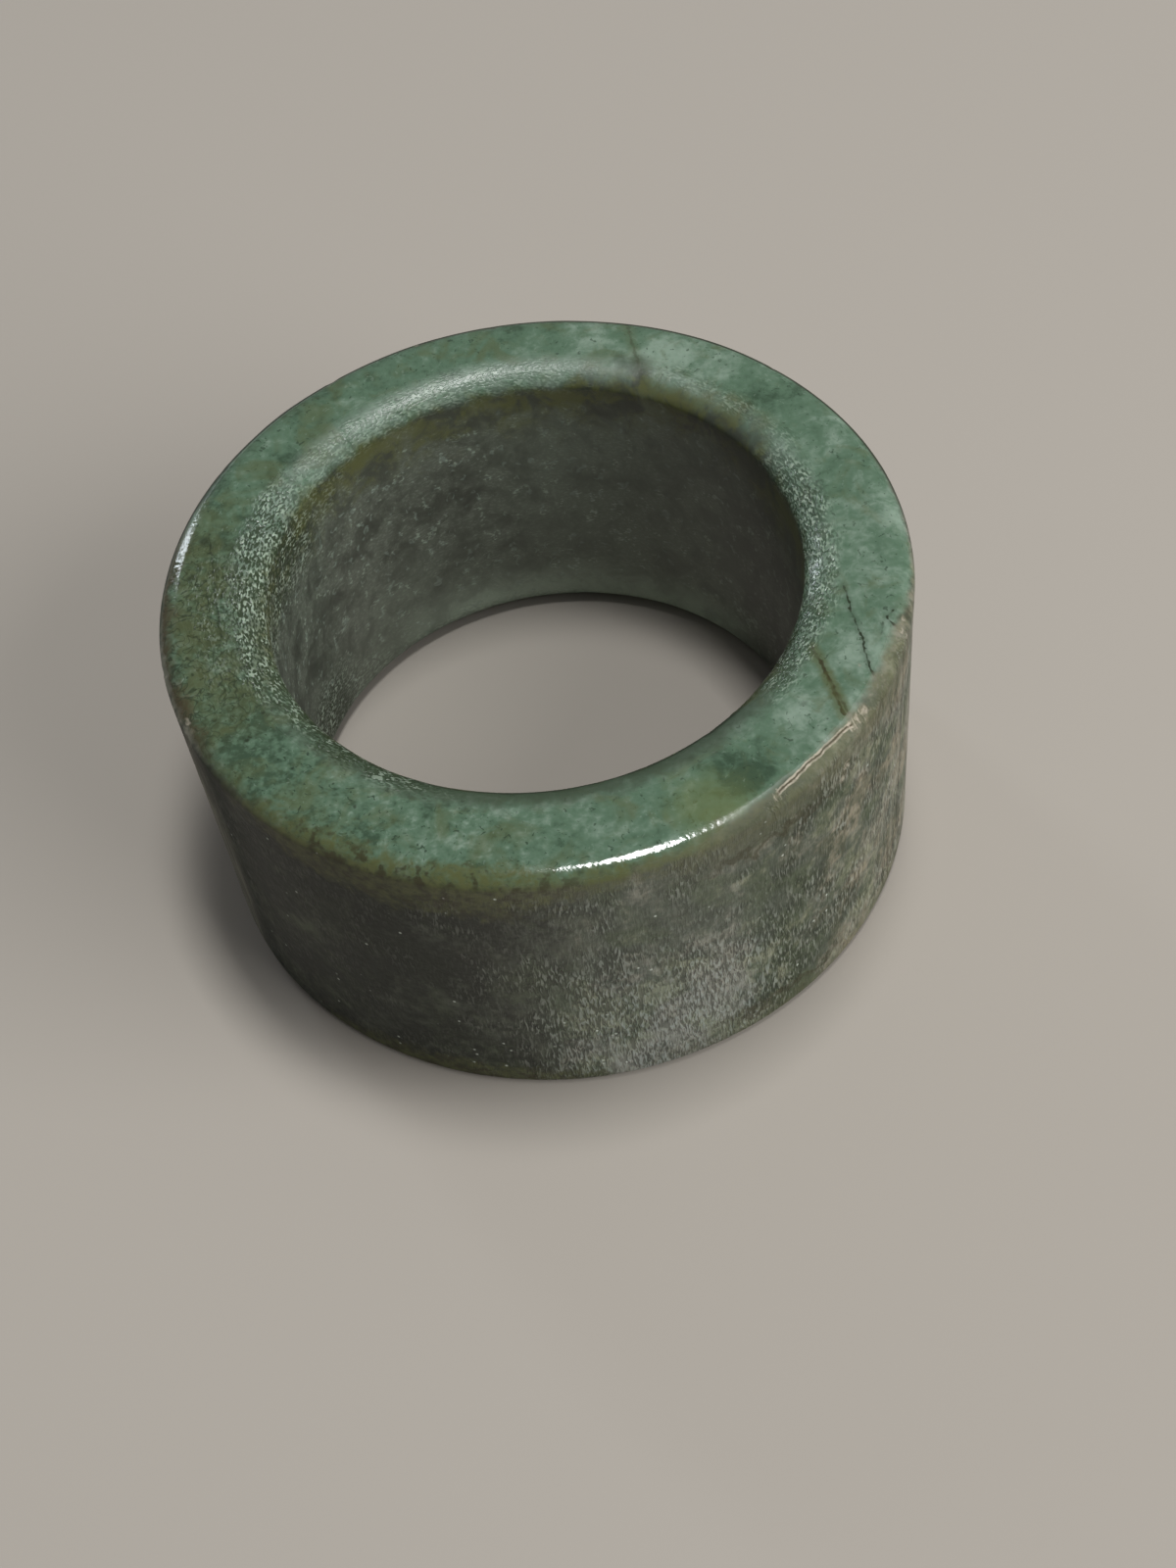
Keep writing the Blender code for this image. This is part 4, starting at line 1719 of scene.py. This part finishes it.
    def relief(self, graph: Graph, at: Places, wrinkles: Value, strokes: Value) -> Value:
        """Return the normal with the wrinkles of the mouth and the strokes and grain of the skin.

        Args:
            graph: the material's graph.
            at: where the point is on the ring.
            wrinkles: the wrinkles, 1 on their tops and 0 between them.
            strokes: the strokes of the skin, from -1 to 1.

        Returns:
            The bent normal that the shader takes.
        """
        heights = self.heights
        satin, ripple = at.grain(Grain.SATIN), at.grain(Grain.RIPPLE)
        rim = graph.step(at.over, -0.9, -0.3) * graph.step(at.over, 0.9, 0.3)
        below_rim = graph.step(at.over, 0.10, 0.90)
        rough = at.in_mouth() * heights.mouth + below_rim * heights.wall + heights.face
        height = satin * rough + ripple * rim * heights.rim
        height = height + wrinkles * heights.wrinkles + strokes * heights.strokes
        return graph.value("ShaderNodeBump", inputs={"Strength": 1.0, "Distance": MM, "Height": height})


@dataclass
class StudioFloor:
    """The plain pale floor."""

    name: str = "studio_floor"
    half_side: float = 0.9
    sink: float = 0.01 * MM
    colour: Colour = (0.390, 0.357, 0.315)
    roughness: float = 0.85

    def build(self) -> bpy.types.Object:
        """Make the floor.

        Returns:
            The floor.
        """
        material = bpy.data.materials.new("pale_floor")
        material.use_nodes = True
        shader = material.node_tree.nodes["Principled BSDF"]
        shader.inputs["Base Color"].default_value = opaque(self.colour)
        shader.inputs["Roughness"].default_value = self.roughness
        side = self.half_side
        corners = [(x * side, y * side, -self.sink) for x, y in ((-1, -1), (1, -1), (1, 1), (-1, 1))]
        mesh = bpy.data.meshes.new(self.name)
        mesh.from_pydata(corners, [], [(0, 1, 2, 3)])
        mesh.materials.append(material)
        floor = bpy.data.objects.new(self.name, mesh)
        bpy.context.collection.objects.link(floor)
        log.info("%s: %.1f m square", floor.name, 2 * side)
        return floor


@dataclass(frozen=True)
class Lamp:
    """One soft light that looks at the ring, with its width and its height."""

    name: str
    bearing: float
    elevation: float
    distance: float
    width: float
    height: float
    power: float
    colour: Colour = (1.0, 1.0, 1.0)
    lean: float = 0.0
    mirrored: bool = True

    def build(self, target: Vector) -> bpy.types.Object:
        """Make the light and turn it to the target.

        Args:
            target: what the light looks at, in metres.

        Returns:
            The light.
        """
        data = bpy.data.lights.new(self.name, "AREA")
        data.shape = "RECTANGLE"
        data.size = self.width
        data.size_y = self.height
        data.energy = self.power
        data.color = self.colour
        bearing, elevation = math.radians(self.bearing), math.radians(self.elevation)
        level = math.cos(elevation)
        direction = Vector((math.cos(bearing) * level, math.sin(bearing) * level, math.sin(elevation)))
        lamp = bpy.data.objects.new(self.name, data)
        lamp.location = target + direction * self.distance
        turn = direction.to_track_quat("Z", "Y") @ Quaternion((0.0, 0.0, 1.0), math.radians(self.lean))
        lamp.rotation_euler = turn.to_euler()
        lamp.visible_glossy = self.mirrored
        bpy.context.collection.objects.link(lamp)
        return lamp


@dataclass
class StudioLight:
    """A lamp overhead, a broad low light from the near right, and a window behind on the left."""

    sky: Colour = (0.98, 1.0, 1.02)
    sky_strength: float = 0.16
    lamps: Tuple[Lamp, ...] = (
        Lamp("overhead", bearing=25.0, elevation=83.0, distance=0.50, width=0.15, height=0.08, power=1.40),
        Lamp("broad", bearing=-32.0, elevation=28.0, distance=0.45, width=0.35, height=0.35, power=1.85,
             mirrored=False),
        Lamp("window", bearing=121.0, elevation=22.0, distance=0.70, width=0.030, height=0.36, power=0.50,
             colour=(0.86, 0.94, 1.0), lean=16.0),
    )

    def build(self, target: Vector) -> None:
        """Make the sky and the lamps.

        Args:
            target: what the lights look at, in metres.
        """
        world = bpy.data.worlds.new("soft_sky")
        world.use_nodes = True
        background = world.node_tree.nodes["Background"]
        background.inputs["Color"].default_value = opaque(self.sky)
        background.inputs["Strength"].default_value = self.sky_strength
        bpy.context.scene.world = world
        for lamp in self.lamps:
            lamp.build(target)
            log.info("light %s at bearing %.0f, elevation %.0f", lamp.name, lamp.bearing, lamp.elevation)


@dataclass
class Viewpoint:
    """The camera, at the place from which the ring was seen."""

    elevation: float = 52.12
    roll: float = -8.445
    distance: float = 107.92 * MM
    slide: Spot = (0.840 * MM, 0.419 * MM)
    lens: float = 60.775
    sensor: float = 36.0
    nearest: float = 0.01
    farthest: float = 20.0

    def build(self) -> bpy.types.Object:
        """Make the camera and use it for the scene.

        Returns:
            The camera.
        """
        elevation, roll = math.radians(self.elevation), math.radians(self.roll)
        back = Vector((0.0, -math.cos(elevation), math.sin(elevation)))
        level_right = Vector((1.0, 0.0, 0.0))
        level_up = back.cross(level_right)
        right = math.cos(roll) * level_right + math.sin(roll) * level_up
        up = math.cos(roll) * level_up - math.sin(roll) * level_right
        place = back * self.distance + right * self.slide[0] + up * self.slide[1]
        data = bpy.data.cameras.new("camera")
        data.lens = self.lens
        data.sensor_width = self.sensor
        data.clip_start = self.nearest
        data.clip_end = self.farthest
        camera = bpy.data.objects.new("camera", data)
        camera.matrix_world = Matrix.Translation(place) @ Matrix((right, up, back)).transposed().to_4x4()
        bpy.context.collection.objects.link(camera)
        bpy.context.scene.camera = camera
        log.info("camera %.0f mm away at elevation %.1f", self.distance / MM, self.elevation)
        return camera


def main() -> None:
    """Build the ring, its floor, its light and its camera."""
    logging.basicConfig(level=logging.INFO, format="%(message)s")
    scene = bpy.context.scene
    scene.view_settings.view_transform = "Standard"
    sizes = BandSizes.from_frame()
    stone = PolishedJade().material(sizes)
    JadeBand(sizes).build(stone)
    StudioFloor().build()
    StudioLight().build(Vector((0.0, 0.0, sizes.height / 2)))
    Viewpoint().build()


if __name__ == "__main__":
    main()
